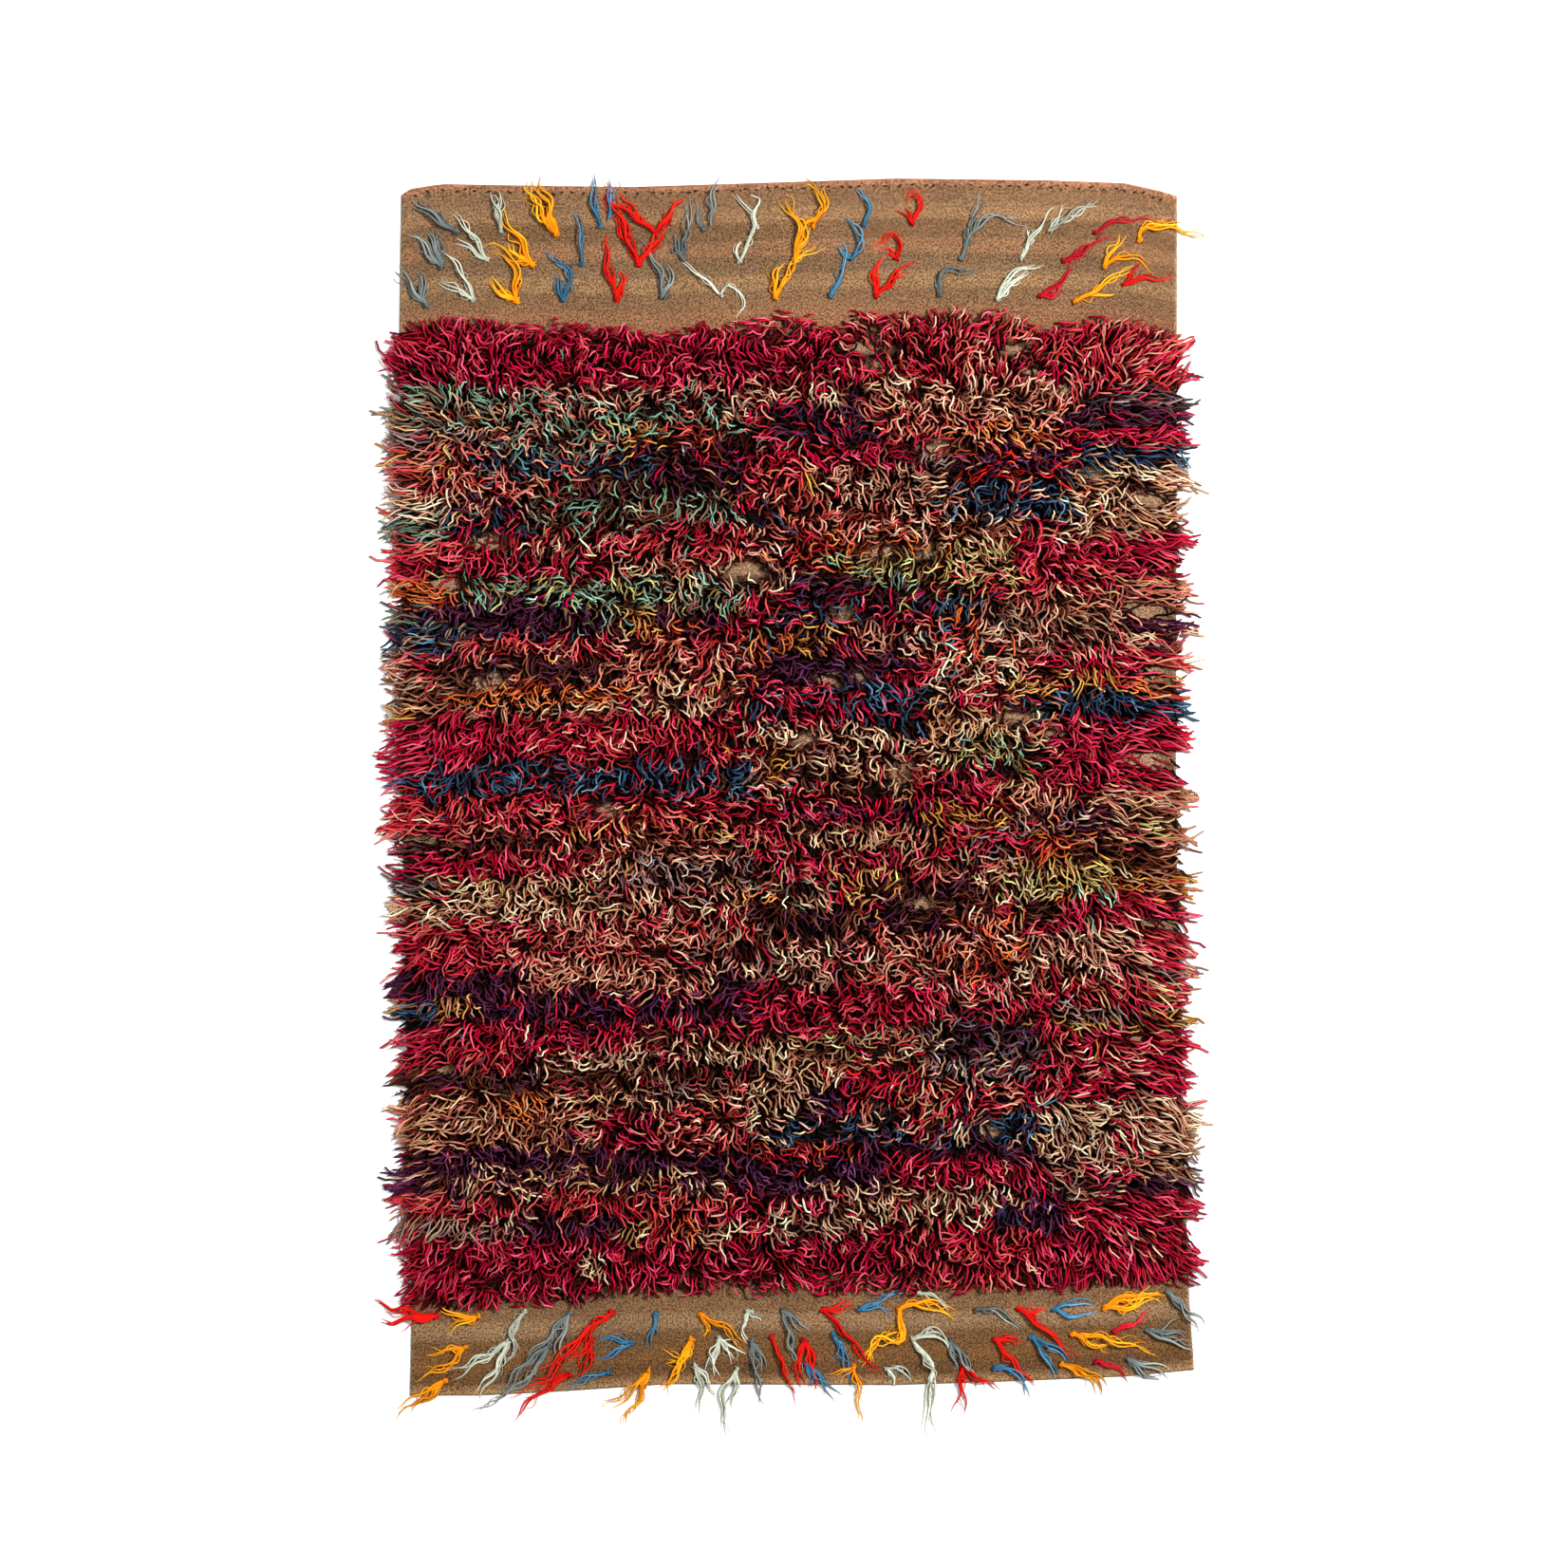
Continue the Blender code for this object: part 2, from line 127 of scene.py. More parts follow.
# How far the strands hang past the first and last row of knots: place along the row, pixels.
TOP_REACH = (
    (420, 0), (480, -10), (515, -14), (545, 2), (600, -8), (655, -5), (700, 12), (750, -6), (780, 3),
    (810, -14), (870, -2), (905, -18), (925, -8), (945, -18), (965, -6), (1010, -18), (1072, -10),
    (1095, 8), (1155, -6), (1240, -2),
)
BOTTOM_REACH = (
    (430, 12), (480, 22), (600, 24), (700, 16), (820, 12), (960, 14), (1100, 16), (1250, 12),
)

# Thin places where the ground shows: x, y, half width, half height.
BARE_PLACES = (
    (519, 571, 26, 8), (468, 615, 22, 8), (514, 720, 24, 9), (783, 600, 22, 8), (1150, 500, 20, 6),
    (914, 366, 18, 6), (923, 387, 8, 5), (1071, 366, 20, 5), (1086, 391, 8, 5), (1118, 410, 18, 5),
    (988, 473, 17, 7), (928, 583, 18, 7), (977, 582, 14, 6), (891, 648, 10, 7), (872, 715, 15, 6),
    (909, 713, 9, 6), (1076, 755, 22, 6), (848, 780, 11, 6), (1111, 773, 11, 6), (950, 815, 16, 8),
    (975, 951, 20, 6), (1209, 525, 25, 9), (1210, 643, 30, 10), (1224, 712, 19, 12), (1213, 801, 32, 11),
    (1222, 973, 24, 7), (443, 884, 18, 6), (640, 856, 12, 6), (467, 1127, 12, 5), (542, 1148, 14, 6),
    (1198, 1093, 12, 5), (1040, 1190, 12, 5),
)

# Dyes in sRGB. Tips fade towards the second colour, and painted highlights go towards it too.
DYES = {
    "crimson": ((160, 0, 36), (232, 82, 99)),
    "raspberry": ((150, 0, 42), (226, 76, 100)),
    "red": ((204, 10, 20), (232, 78, 60)),
    "salmon": ((190, 50, 52), (228, 138, 122)),
    "rose": ((190, 106, 88), (226, 166, 142)),
    "beige": ((186, 126, 98), (222, 176, 144)),
    "camel": ((166, 106, 74), (206, 156, 118)),
    "cream": ((198, 156, 124), (222, 188, 158)),
    "taupe": ((134, 94, 76), (178, 136, 110)),
    "mauve": ((124, 88, 86), (168, 134, 126)),
    "plum": ((62, 16, 38), (110, 50, 74)),
    "purple": ((62, 20, 54), (108, 56, 92)),
    "brown": ((70, 28, 16), (124, 68, 46)),
    "charcoal": ((58, 44, 50), (102, 82, 86)),
    "navy": ((26, 36, 58), (66, 86, 110)),
    "petrol": ((38, 64, 88), (92, 118, 138)),
    "sage": ((92, 112, 94), (142, 156, 134)),
    "olive": ((148, 122, 70), (200, 176, 120)),
    "mustard": ((182, 118, 52), (220, 174, 106)),
    "rust": ((186, 68, 36), (220, 118, 76)),
    "orange": ((196, 92, 34), (220, 138, 82)),
    "ochre": ((164, 100, 34), (200, 142, 68)),
}

# How much of a stripe each of its dyes takes, by how many there are.
DYE_SHARES = {1: (1.0,), 2: (0.66, 0.34), 3: (0.52, 0.28, 0.20)}

# Stripes of the shag as the weaver changed colour, first the left, then the middle, then the right
# third: left, right, top, bottom, then the dyes in the order of how much of each there is. A later
# stripe lies over an earlier one.
STRIPES = """
380 790 300 412 crimson raspberry, 380 790 408 434 rose sage taupe, 765 790 300 352 crimson rose,
380 546 410 432 sage taupe, 380 525 430 456 camel beige, 428 480 438 456 sage camel,
521 790 430 480 sage rose taupe, 380 521 455 482 mauve beige, 641 703 442 480 mustard sage,
706 750 452 474 salmon rust, 380 521 477 505 salmon mustard, 505 612 480 514 petrol navy taupe,
594 648 477 508 sage salmon, 618 694 485 518 petrol navy taupe, 680 790 468 521 plum brown crimson,
380 612 503 530 salmon rose, 612 762 506 538 brown plum, 380 510 522 547 cream beige,
484 560 522 560 rose purple crimson, 556 775 520 562 sage taupe brown, 380 462 545 568 sage taupe,
458 546 545 567 navy crimson, 546 775 552 575 crimson brown sage, 380 790 567 602 salmon crimson,
521 646 570 602 crimson cream, 380 675 590 614 crimson raspberry, 646 790 588 612 beige salmon cream,
380 500 610 640 orange rust, 488 715 610 652 sage olive, 708 790 610 650 sage olive rose,
380 445 637 660 sage taupe, 436 612 640 674 plum purple, 612 700 645 672 plum sage taupe,
655 715 646 676 mustard ochre, 706 765 650 675 plum rust, 380 500 656 687 navy taupe petrol,
500 600 668 690 petrol taupe plum, 484 790 674 712 salmon crimson rose, 380 446 680 697 mauve taupe,
380 490 694 722 rose crimson, 446 675 695 738 brown plum rose, 646 790 690 722 rose salmon,
380 490 720 745 taupe brown camel, 488 662 722 754 orange rust, 668 780 712 748 beige mustard crimson,
380 440 742 758 mustard camel, 436 600 742 770 camel taupe, 590 790 744 774 cream camel,
380 790 757 806 crimson raspberry, 560 790 764 806 crimson salmon, 416 790 806 840 petrol navy crimson,
380 418 806 836 crimson, 380 790 838 864 crimson salmon, 380 790 858 884 salmon crimson rose,
604 762 866 900 salmon mustard, 416 626 880 903 brown plum salmon, 626 790 884 906 rose camel,
380 626 901 926 crimson raspberry, 620 662 900 926 beige, 646 790 905 936 mauve taupe,
380 455 922 946 mauve charcoal, 448 640 924 946 beige olive, 380 690 943 972 cream camel,
680 790 938 972 beige crimson, 380 540 968 1026 crimson salmon, 530 725 968 1022 rose salmon crimson,
722 790 972 1002 salmon taupe, 730 790 1000 1040 rose mauve, 400 790 1026 1052 plum purple,
546 750 1014 1048 rose beige, 380 512 1052 1080 camel ochre, 496 790 1046 1078 plum purple crimson,
380 455 1062 1088 navy petrol, 400 790 1077 1116 crimson raspberry, 668 790 1088 1120 beige crimson,
396 604 1106 1132 crimson salmon, 556 790 1110 1132 cream beige, 400 590 1130 1156 brown plum,
580 790 1124 1152 brown taupe crimson, 400 790 1152 1216 camel rose, 526 568 1147 1178 orange rust,
672 732 1142 1172 mauve beige, 632 698 1170 1212 raspberry crimson, 696 790 1160 1214 salmon rose,
400 790 1214 1258 plum purple, 446 774 1234 1262 camel plum cream, 400 790 1258 1284 salmon crimson,
404 512 1282 1308 taupe mauve, 506 574 1282 1308 cream taupe, 544 648 1284 1308 plum purple,
650 682 1284 1306 olive taupe, 680 790 1284 1308 rust crimson rose, 380 790 1306 1400 crimson raspberry,
728 770 1285 1314 cream, 610 644 1328 1352 cream salmon, 785 1110 320 404 crimson raspberry,
785 850 300 352 crimson rose, 895 1110 300 404 crimson salmon rose, 785 1110 402 440 beige rose,
785 862 404 440 rose crimson taupe, 860 914 414 440 cream plum, 960 1110 436 462 rose salmon,
812 918 428 482 plum navy crimson, 914 1004 432 466 salmon rose, 1000 1122 448 478 orange rose,
785 975 466 506 crimson raspberry, 1004 1122 470 506 purple plum rust,
785 858 494 524 salmon mustard crimson, 858 1010 494 548 beige rose taupe, 962 1012 484 506 mauve taupe,
1004 1122 496 516 red rose plum, 1004 1112 512 546 navy petrol rose, 785 880 520 568 salmon rose,
785 812 528 556 rose navy, 876 1004 534 574 rose salmon cream, 990 1080 545 580 beige camel,
826 872 560 596 rust crimson, 785 826 566 604 rose taupe, 872 990 566 590 orange rose,
866 984 584 624 olive sage, 984 1080 576 606 olive beige, 785 826 600 634 beige taupe cream,
980 1110 604 626 salmon olive, 826 870 600 632 taupe purple, 785 822 628 652 crimson salmon,
820 978 616 656 plum crimson, 976 1110 622 656 rose taupe salmon, 1012 1062 622 646 crimson rose,
803 880 642 686 navy crimson plum, 876 912 638 660 petrol crimson, 975 1038 632 666 navy orange petrol,
900 975 656 696 rose taupe, 785 838 664 702 orange rust sage, 836 880 664 706 mustard camel,
964 1014 664 696 salmon sage cream, 1012 1074 660 702 rust salmon, 1038 1122 640 690 taupe rose,
796 954 688 730 plum purple, 920 984 702 746 crimson raspberry, 980 1102 692 738 cream salmon,
1071 1112 710 742 mustard camel, 800 926 722 770 crimson raspberry petrol, 785 802 735 766 petrol crimson,
914 984 726 776 petrol navy crimson, 984 1054 732 772 camel rose, 1008 1060 726 746 crimson rose,
1050 1110 738 770 rose camel crimson, 785 918 764 832 beige cream taupe, 800 828 782 818 ochre rust,
914 992 774 812 cream crimson rose, 980 1102 756 818 camel cream olive, 1014 1092 780 818 olive sage,
860 972 810 842 camel taupe, 836 862 808 836 mauve taupe, 785 904 830 856 crimson beige,
968 1078 812 846 crimson raspberry, 1044 1112 822 860 rose camel, 974 1052 842 874 ochre crimson mustard,
785 828 852 922 crimson rose cream, 826 984 846 888 plum raspberry crimson, 1050 1102 850 888 taupe camel,
834 992 872 902 camel taupe, 990 1110 874 912 crimson mauve, 1086 1142 868 912 ochre camel,
814 968 898 942 crimson raspberry beige, 894 962 918 952 mustard camel, 974 1052 910 950 rose cream,
1050 1112 910 954 olive cream, 785 878 932 960 taupe beige sage, 792 812 948 974 orange,
924 1040 932 986 brown plum, 894 1014 962 990 plum brown, 785 898 957 1004 brown plum,
1066 1126 950 974 plum taupe brown, 1000 1068 960 1028 rose rust, 1046 1078 990 1020 rust orange,
894 1002 982 1044 rose salmon taupe, 796 882 992 1048 taupe cream mauve, 850 884 986 1026 rose cream,
785 808 1022 1066 cream rose, 1066 1112 984 1050 cream rose, 785 992 1040 1096 crimson,
1000 1074 1028 1076 crimson rose taupe, 1072 1112 1040 1078 crimson salmon,
990 1108 1072 1122 charcoal plum taupe, 785 932 1092 1132 camel taupe olive,
930 992 1078 1118 taupe cream salmon, 785 884 1112 1190 camel cream taupe,
900 978 1112 1184 camel cream crimson, 880 952 1124 1162 crimson red, 856 886 1142 1176 purple plum,
976 1104 1112 1140 mauve charcoal cream, 974 1112 1136 1172 crimson rose, 785 840 1180 1208 cream navy,
828 992 1176 1210 navy rose petrol, 960 1012 1170 1200 camel crimson, 1008 1122 1174 1210 navy petrol cream,
785 912 1204 1234 crimson rust, 908 1112 1204 1226 plum purple, 785 962 1226 1260 plum purple,
940 1068 1220 1252 crimson raspberry, 860 1088 1250 1292 cream beige, 785 864 1256 1292 raspberry crimson,
1050 1128 1268 1296 purple navy, 804 894 1276 1312 cream taupe, 950 1004 1282 1306 brown crimson,
785 960 1294 1400 crimson raspberry, 958 1112 1294 1400 crimson salmon,
804 894 1278 1306 taupe cream crimson, 1110 1300 325 412 crimson salmon rose,
1110 1300 410 432 charcoal mauve, 1110 1140 404 450 rose salmon, 1110 1300 431 454 plum charcoal,
1114 1300 450 480 crimson raspberry, 1136 1300 472 498 navy petrol taupe, 1110 1300 496 572 cream camel,
1160 1300 540 572 camel taupe, 1086 1118 528 548 navy petrol, 1076 1300 566 608 crimson raspberry,
1110 1160 566 596 crimson rose, 1110 1300 606 648 rose camel, 1080 1170 592 622 crimson salmon,
1110 1190 642 690 taupe brown rose, 1186 1300 647 668 plum, 1180 1300 666 690 cream rose,
1122 1300 684 706 crimson salmon rose, 1110 1170 708 738 mustard crimson ochre,
1170 1300 712 736 rust mustard crimson, 1086 1300 732 759 navy petrol, 1100 1300 756 832 crimson raspberry,
1110 1300 829 890 camel taupe rose, 1104 1164 850 884 plum mauve, 1204 1240 858 884 olive camel,
1086 1146 878 912 rust ochre brown, 1124 1300 892 922 brown, 1160 1300 918 946 ochre camel cream,
1090 1170 914 952 olive mustard, 1126 1178 938 964 sage cream, 1112 1300 946 980 crimson raspberry,
1112 1212 978 1040 rose cream taupe, 1212 1300 984 1024 crimson salmon,
1190 1300 1018 1046 taupe rose mauve, 1110 1300 1032 1070 crimson camel, 1086 1150 1048 1082 crimson,
1110 1300 1066 1098 ochre camel olive, 1110 1190 1056 1074 mauve taupe,
1100 1300 1084 1166 crimson raspberry, 1114 1220 1094 1146 crimson rose,
1100 1300 1158 1216 cream taupe camel, 1166 1210 1184 1212 crimson cream, 1110 1300 1214 1250 taupe camel,
1138 1196 1218 1240 crimson rose, 1172 1300 1242 1264 plum charcoal, 1110 1174 1240 1272 taupe plum,
1100 1300 1262 1400 crimson raspberry, 1174 1222 1298 1326 rose cream crimson, 1086 1132 1268 1292 purple
"""

# Bands woven into the two flat ends, as pixels in from the end of the cloth and an sRGB colour.
TOP_BANDS = (
    (0, (184, 138, 116)), (6, (176, 132, 110)), (8, (152, 123, 100)), (24, (152, 125, 103)),
    (27, (164, 136, 109)), (40, (172, 141, 114)), (43, (140, 113, 90)), (60, (139, 113, 90)),
    (62, (161, 127, 103)), (76, (162, 127, 103)), (79, (138, 114, 94)), (96, (142, 118, 98)),
    (98, (166, 138, 110)), (112, (164, 136, 108)), (115, (142, 116, 94)), (132, (148, 118, 95)),
    (135, (160, 122, 99)), (152, (156, 118, 95)), (170, (110, 86, 68)),
)
BOTTOM_BANDS = (
    (0, (156, 128, 100)), (2, (188, 158, 124)), (6, (160, 130, 102)), (13, (119, 91, 67)),
    (22, (118, 90, 65)), (27, (134, 101, 69)), (54, (125, 98, 72)), (61, (156, 131, 108)),
    (74, (162, 136, 112)), (77, (142, 114, 90)), (100, (134, 108, 86)), (118, (104, 82, 64)),
)
# The cloth's colour where the shag is thin, painted light: lighter than the woven bands, to make up for the
# shade of the pile round it.
MIDDLE_GROUND = (150, 115, 89)
# Painted shade for the ground under the shag, where only the dark between strands shows.
SHADE_UNDER_SHAG = (17, 5, 4)
SELVEDGE_COLOUR = (206, 186, 152)
THREAD_COLOUR = (26, 18, 16)

# Dyed colour of the bands as a share of the lit colour named above, in linear red, green and blue.
BAND_DEPTH = (0.67, 0.575, 0.445)

# Wool of the tufts in sRGB: near the knot, and at the tips.
WOOLS = {
    "grey": ((88, 96, 96), (160, 164, 156)),
    "pale": ((166, 170, 152), (222, 222, 204)),
    "orange": ((220, 124, 4), (250, 184, 40)),
    "blue": ((44, 96, 128), (108, 156, 182)),
    "red": ((188, 10, 4), (232, 44, 24)),
    "crimson": ((160, 8, 28), (212, 44, 56)),
}
WISP_POINTS = 16
LOOPS_A_KNOT = 5
WISP_SPREAD = ((0, 0.12, 0.4, 0.75, 1), (0.15, 0.35, 0.8, 0.8, 1.0))
WISP_TAPER = ((0, 0.12, 0.5, 0.85, 1), (1.3, 1.2, 0.9, 0.45, 0.12))
WISP_LENGTHS = ((0.85, 1.05), (0.55, 1.08), (0.5, 1.15))

# Tufts row by row: wool, half width in pixels, then a lock after each bar, as the x and y of its
# points from the knot to the tip.
TUFTS = {
    "tufts_top_1": """
grey 7 | 481 243 455 228 431 207
pale 4 | 528 244 524 222 514 194 | 528 244 525 219 527 194
orange 8 | 586 247 568 222 553 194 | 586 247 579 220 565 188
blue 4 | 633 239 626 212 623 184 | 641 231 645 206 642 184
red 6 | 692 247 662 222 633 196 | 692 245 708 224 722 207
grey 4 | 741 241 734 226 737 211 | 749 238 752 200 762 179
pale 3 | 798 240 794 223 802 209 786 198
orange 4 | 857 239 867 212 843 185 | 847 236 868 222 862 188
blue 3 | 910 237 915 215 898 190
red 4 | 961 236 970 211 960 203 951 217 | 961 236 955 226 950 217
pale 4 | 1106 243 1129 227 1160 208 | 1106 243 1112 232 1120 216
crimson 3 | 1155 245 1174 234 1219 231
orange 5 | 1200 253 1205 240 1239 242 1276 254 | 1202 245 1216 236 1246 240
""",
    "tufts_top_2": """
grey 6 | 466 282 448 262 431 245 | 466 282 462 262 451 241
pale 4 | 513 274 496 245 474 221 | 513 274 494 262 482 252
orange 6 | 562 280 546 250 524 217 | 562 280 545 272 532 258
blue 2.5 | 613 278 613 250 603 213
red 7 | 673 279 655 236 635 196 | 673 279 684 262 704 236
grey 5 | 719 272 724 237 723 203 | 719 272 712 256 709 243
pale 3 | 779 276 792 248 791 223 764 196 | 779 276 777 262 780 252
orange 6 | 837 274 842 241 821 205 | 837 274 846 252 853 231
blue 4 | 897 273 907 252 888 229 | 897 273 890 266 886 258
red 4 | 944 272 950 256 937 248 918 262 | 944 272 938 266 930 270
grey 4 | 1013 273 1024 245 1048 228 1090 242 | 1013 273 1026 232 1036 199
pale 4 | 1076 273 1092 243 1113 214 | 1076 273 1084 250 1086 236
crimson 4 | 1121 275 1142 264 1174 243 | 1121 275 1132 272 1148 254
orange 4 | 1163 281 1172 264 1186 249 | 1163 281 1186 270 1219 282
red 4 | 1185 300 1192 288 1206 277 | 1185 300 1208 294 1239 292
""",
    "tufts_top_3": """
grey 6 | 450 322 432 302 417 276 | 450 322 444 304 439 284
pale 4 | 499 316 488 288 462 258 | 499 316 480 306 462 294
orange 7 | 544 317 540 272 514 262 | 544 317 527 306 511 294
blue 5 | 594 316 600 290 574 265 | 594 316 590 304 587 290
red 5 | 650 316 636 264 642 237 | 650 316 656 298 653 282
grey 4 | 698 313 694 284 674 250 | 698 313 706 296 702 278
pale 2 | 759 311 740 292 719 276 | 759 311 768 300 784 321 776 333
orange 5 | 817 314 815 290 824 276 | 817 314 840 272 864 258
blue 4 | 875 312 886 290 890 268 879 258
red 5 | 923 312 923 292 930 272 | 923 312 944 290 966 270
grey 4 | 990 311 990 292 1002 286 1037 286 | 990 311 986 300 990 290
pale 4 | 1051 315 1062 292 1099 275 | 1051 315 1066 300 1080 282
crimson 4 | 1096 312 1118 296 1137 272 | 1096 312 1110 310 1124 296
orange 4 | 1132 318 1158 303 1195 280 | 1132 318 1150 312 1172 306
""",
    "tufts_bottom_1": """
red 6 | 460 1386 425 1381 390 1372 | 460 1386 430 1390 404 1393
orange 4 | 504 1387 482 1395 466 1405 | 504 1387 480 1386 458 1376
pale 4 | 553 1381 538 1400 543 1418 523 1444 | 553 1381 544 1396 536 1412
grey 5 | 600 1383 580 1405 547 1432 | 600 1383 592 1406 590 1432
red 6 | 645 1382 611 1409 576 1450 541 1466 | 645 1382 626 1398 606 1424
blue 4 | 691 1384 687 1404 680 1425
orange 5 | 739 1385 766 1399 786 1421 | 739 1385 744 1396 741 1409
pale 4 | 788 1381 783 1399 790 1417 | 788 1381 796 1386 804 1393
grey 5 | 825 1381 832 1410 841 1454 | 825 1381 840 1392 849 1405
red 5 | 866 1379 884 1377 902 1372 | 866 1379 888 1402 931 1454
blue 4 | 905 1379 935 1366 964 1355 | 905 1379 922 1378 940 1383
orange 7 | 948 1379 966 1372 1008 1384 | 948 1379 948 1412 921 1410 904 1438
pale 3 | 968 1362 985 1366 1004 1377
grey 4 | 1029 1379 1054 1382 1082 1399
red 5 | 1074 1379 1088 1382 1104 1379 | 1074 1379 1094 1394 1131 1430
blue 4 | 1111 1379 1130 1370 1156 1376 | 1111 1379 1132 1386 1154 1389
orange 7 | 1164 1377 1192 1364 1233 1371 | 1164 1377 1194 1374 1223 1362
grey 5 | 1229 1361 1250 1380 1268 1403 | 1229 1361 1240 1372 1248 1392
""",
    "tufts_bottom_2": """
orange 5 | 490 1419 470 1424 449 1428 | 490 1419 470 1438 439 1450
pale 6 | 536 1413 510 1430 478 1452 | 536 1413 524 1442 502 1472
grey 5 | 579 1417 550 1440 520 1476 | 579 1417 556 1452 498 1492
red 5 | 623 1411 612 1424 600 1440 | 623 1411 622 1432 609 1450
blue 4 | 666 1415 650 1410 629 1411 | 666 1415 648 1424 625 1430
orange 7 | 728 1411 716 1440 698 1466 | 728 1411 722 1428 700 1436
pale 6 | 757 1410 752 1430 750 1448 | 757 1410 770 1420 778 1434
grey 5 | 792 1413 796 1446 802 1482 | 792 1413 800 1426 806 1444
red 4 | 813 1408 824 1438 838 1478
red 5 | 847 1411 842 1436 846 1460 | 847 1411 858 1436 857 1464
blue 4 | 878 1405 892 1436 898 1460 | 878 1405 884 1420 882 1434
orange 5 | 925 1410 920 1422 912 1438 | 925 1410 940 1404 952 1398
pale 6 | 962 1410 984 1404 1008 1430 | 962 1413 984 1444 978 1480 982 1517
grey 5 | 1001 1413 1016 1432 1029 1461 | 1001 1413 1006 1430 1008 1446
red 5 | 1048 1411 1062 1428 1094 1469 | 1048 1411 1062 1412 1074 1420
blue 4 | 1087 1408 1101 1428 1111 1452 | 1087 1408 1112 1420 1127 1438
orange 5 | 1130 1405 1164 1410 1217 1425 | 1130 1405 1150 1416 1176 1422
crimson 4 | 1173 1403 1192 1394 1213 1383
grey 5 | 1208 1401 1228 1410 1258 1418 | 1208 1401 1234 1402 1254 1410
""",
    "tufts_bottom_3": """
orange 5 | 469 1454 446 1468 415 1491 | 469 1454 452 1472 431 1484
red 5 | 600 1448 570 1466 541 1496 | 600 1448 582 1454 566 1462
blue 3 | 641 1445 616 1452 596 1464
orange 5 | 684 1444 664 1466 635 1486 | 684 1444 672 1474 651 1499
pale 4 | 732 1438 740 1466 735 1489 | 732 1438 748 1456 758 1474
pale 4 | 776 1442 760 1474 767 1517 | 776 1442 774 1466 764 1488
blue 4 | 850 1437 868 1454 880 1474 | 850 1437 854 1450 850 1462
orange 4 | 899 1440 905 1466 905 1497 | 899 1440 886 1448 876 1452
pale 4 | 935 1442 948 1440 960 1458 | 935 1442 940 1450 937 1460
red 5 | 1014 1440 1012 1466 1010 1492 | 1014 1440 1038 1456 1056 1463
blue 5 | 1048 1440 1070 1444 1084 1471
orange 5 | 1119 1437 1146 1450 1158 1469 | 1119 1437 1150 1446 1170 1468
crimson 4 | 1156 1433 1178 1442 1194 1453
grey 5 | 1188 1432 1212 1438 1235 1450 | 1188 1432 1204 1446 1222 1456
""",
}

SKY_LIGHT = 0.42


def linear(colour):
    """Linear colour of an sRGB one given from 0 to 255."""
    share = np.asarray(colour, float) / 255
    return np.where(share <= 0.04045, share / 12.92, ((share + 0.055) / 1.055) ** 2.4)


def metres(x, y, z):
    """Points in metres from photograph pixels and heights."""
    across = GROUND_LOW[0] + (np.asarray(x) - GROUND_LEFT_PX) * PX
    up = GROUND_HIGH[1] - (np.asarray(y) - GROUND_TOP_PX) * PX
    return np.stack([across, up, np.broadcast_to(z, np.shape(x))], axis=-1)


def along(edge, place):
    """Where an edge is at a place along it."""
    places, at = zip(*edge)
    return np.interp(place, places, at)


def distances(x, y):
    """Pixels in from the top, from the bottom and from the nearer side of the cloth."""
    to_side = np.minimum(x - along(LEFT_EDGE, y), along(RIGHT_EDGE, y) - x)
    return y - along(TOP_EDGE, x), along(BOTTOM_EDGE, x) - y, to_side


def inside(x, y):
    """Pixels inside the cloth's outline, negative beyond it."""
    return np.min(distances(x, y), axis=0)


def field_ends(x):
    """Where the first and the last row of knots end, down the photograph."""
    return along(TOP_EDGE, x) + FIELD_FROM_TOP, along(BOTTOM_EDGE, x) - FIELD_FROM_BOTTOM


def unevenness(x, y, size, seed, cells=64):
    """Smooth values from -1 to 1 that change over about the given size."""
    values = np.random.default_rng(seed).uniform(-1, 1, (cells, cells))
    u, v = np.asarray(x) / size, np.asarray(y) / size
    i, j = np.floor(u).astype(int), np.floor(v).astype(int)
    fu, fv = u - i, v - j
    fu, fv = fu * fu * (3 - 2 * fu), fv * fv * (3 - 2 * fv)
    i0, j0, i1, j1 = i % cells, j % cells, (i + 1) % cells, (j + 1) % cells
    low = values[i0, j0] * (1 - fu) + values[i1, j0] * fu
    high = values[i0, j1] * (1 - fu) + values[i1, j1] * fu
    return low * (1 - fv) + high * fv


def bareness(x, y, grow=1.0):
    """How thin the shag is at a place, from 0 to 1."""
    most = np.zeros(np.shape(x))
    for place_x, place_y, wide, high in BARE_PLACES:
        away = ((x - place_x) / (0.9 * grow * wide)) ** 2 + ((y - place_y) / (0.95 * grow * high)) ** 2
        most = np.maximum(most, np.exp(-(away**2)))
    return most


def mesh_object(name, verts, loops, sizes, material, tint, maps):
    """An object from arrays: points, corners, corners a face, a tint for each point, UV maps."""
    mesh = bpy.data.meshes.new(name)
    mesh.vertices.add(len(verts))
    mesh.vertices.foreach_set("co", np.ascontiguousarray(verts, np.float32).ravel())
    mesh.loops.add(len(loops))
    mesh.loops.foreach_set("vertex_index", np.ascontiguousarray(loops, np.int32))
    mesh.polygons.add(len(sizes))
    starts = np.concatenate([[0], np.cumsum(sizes)[:-1]]).astype(np.int32)
    mesh.polygons.foreach_set("loop_start", starts)
    mesh.polygons.foreach_set("use_smooth", np.ones(len(sizes), bool))
    mesh.update(calc_edges=True)
    colours = mesh.attributes.new("tint", "FLOAT_COLOR", "POINT")
    rgba = np.concatenate([tint, np.ones((len(tint), 1))], axis=1)
    colours.data.foreach_set("color", rgba.astype(np.float32).ravel())
    for map_name, places in maps.items():
        layer = mesh.uv_layers.new(name=map_name, do_init=False)
        layer.uv.foreach_set("vector", np.ascontiguousarray(places, np.float32).ravel())
    mesh.validate()
    mesh.materials.append(material)
    made = bpy.data.objects.new(name, mesh)
    bpy.context.scene.collection.objects.link(made)
    return made


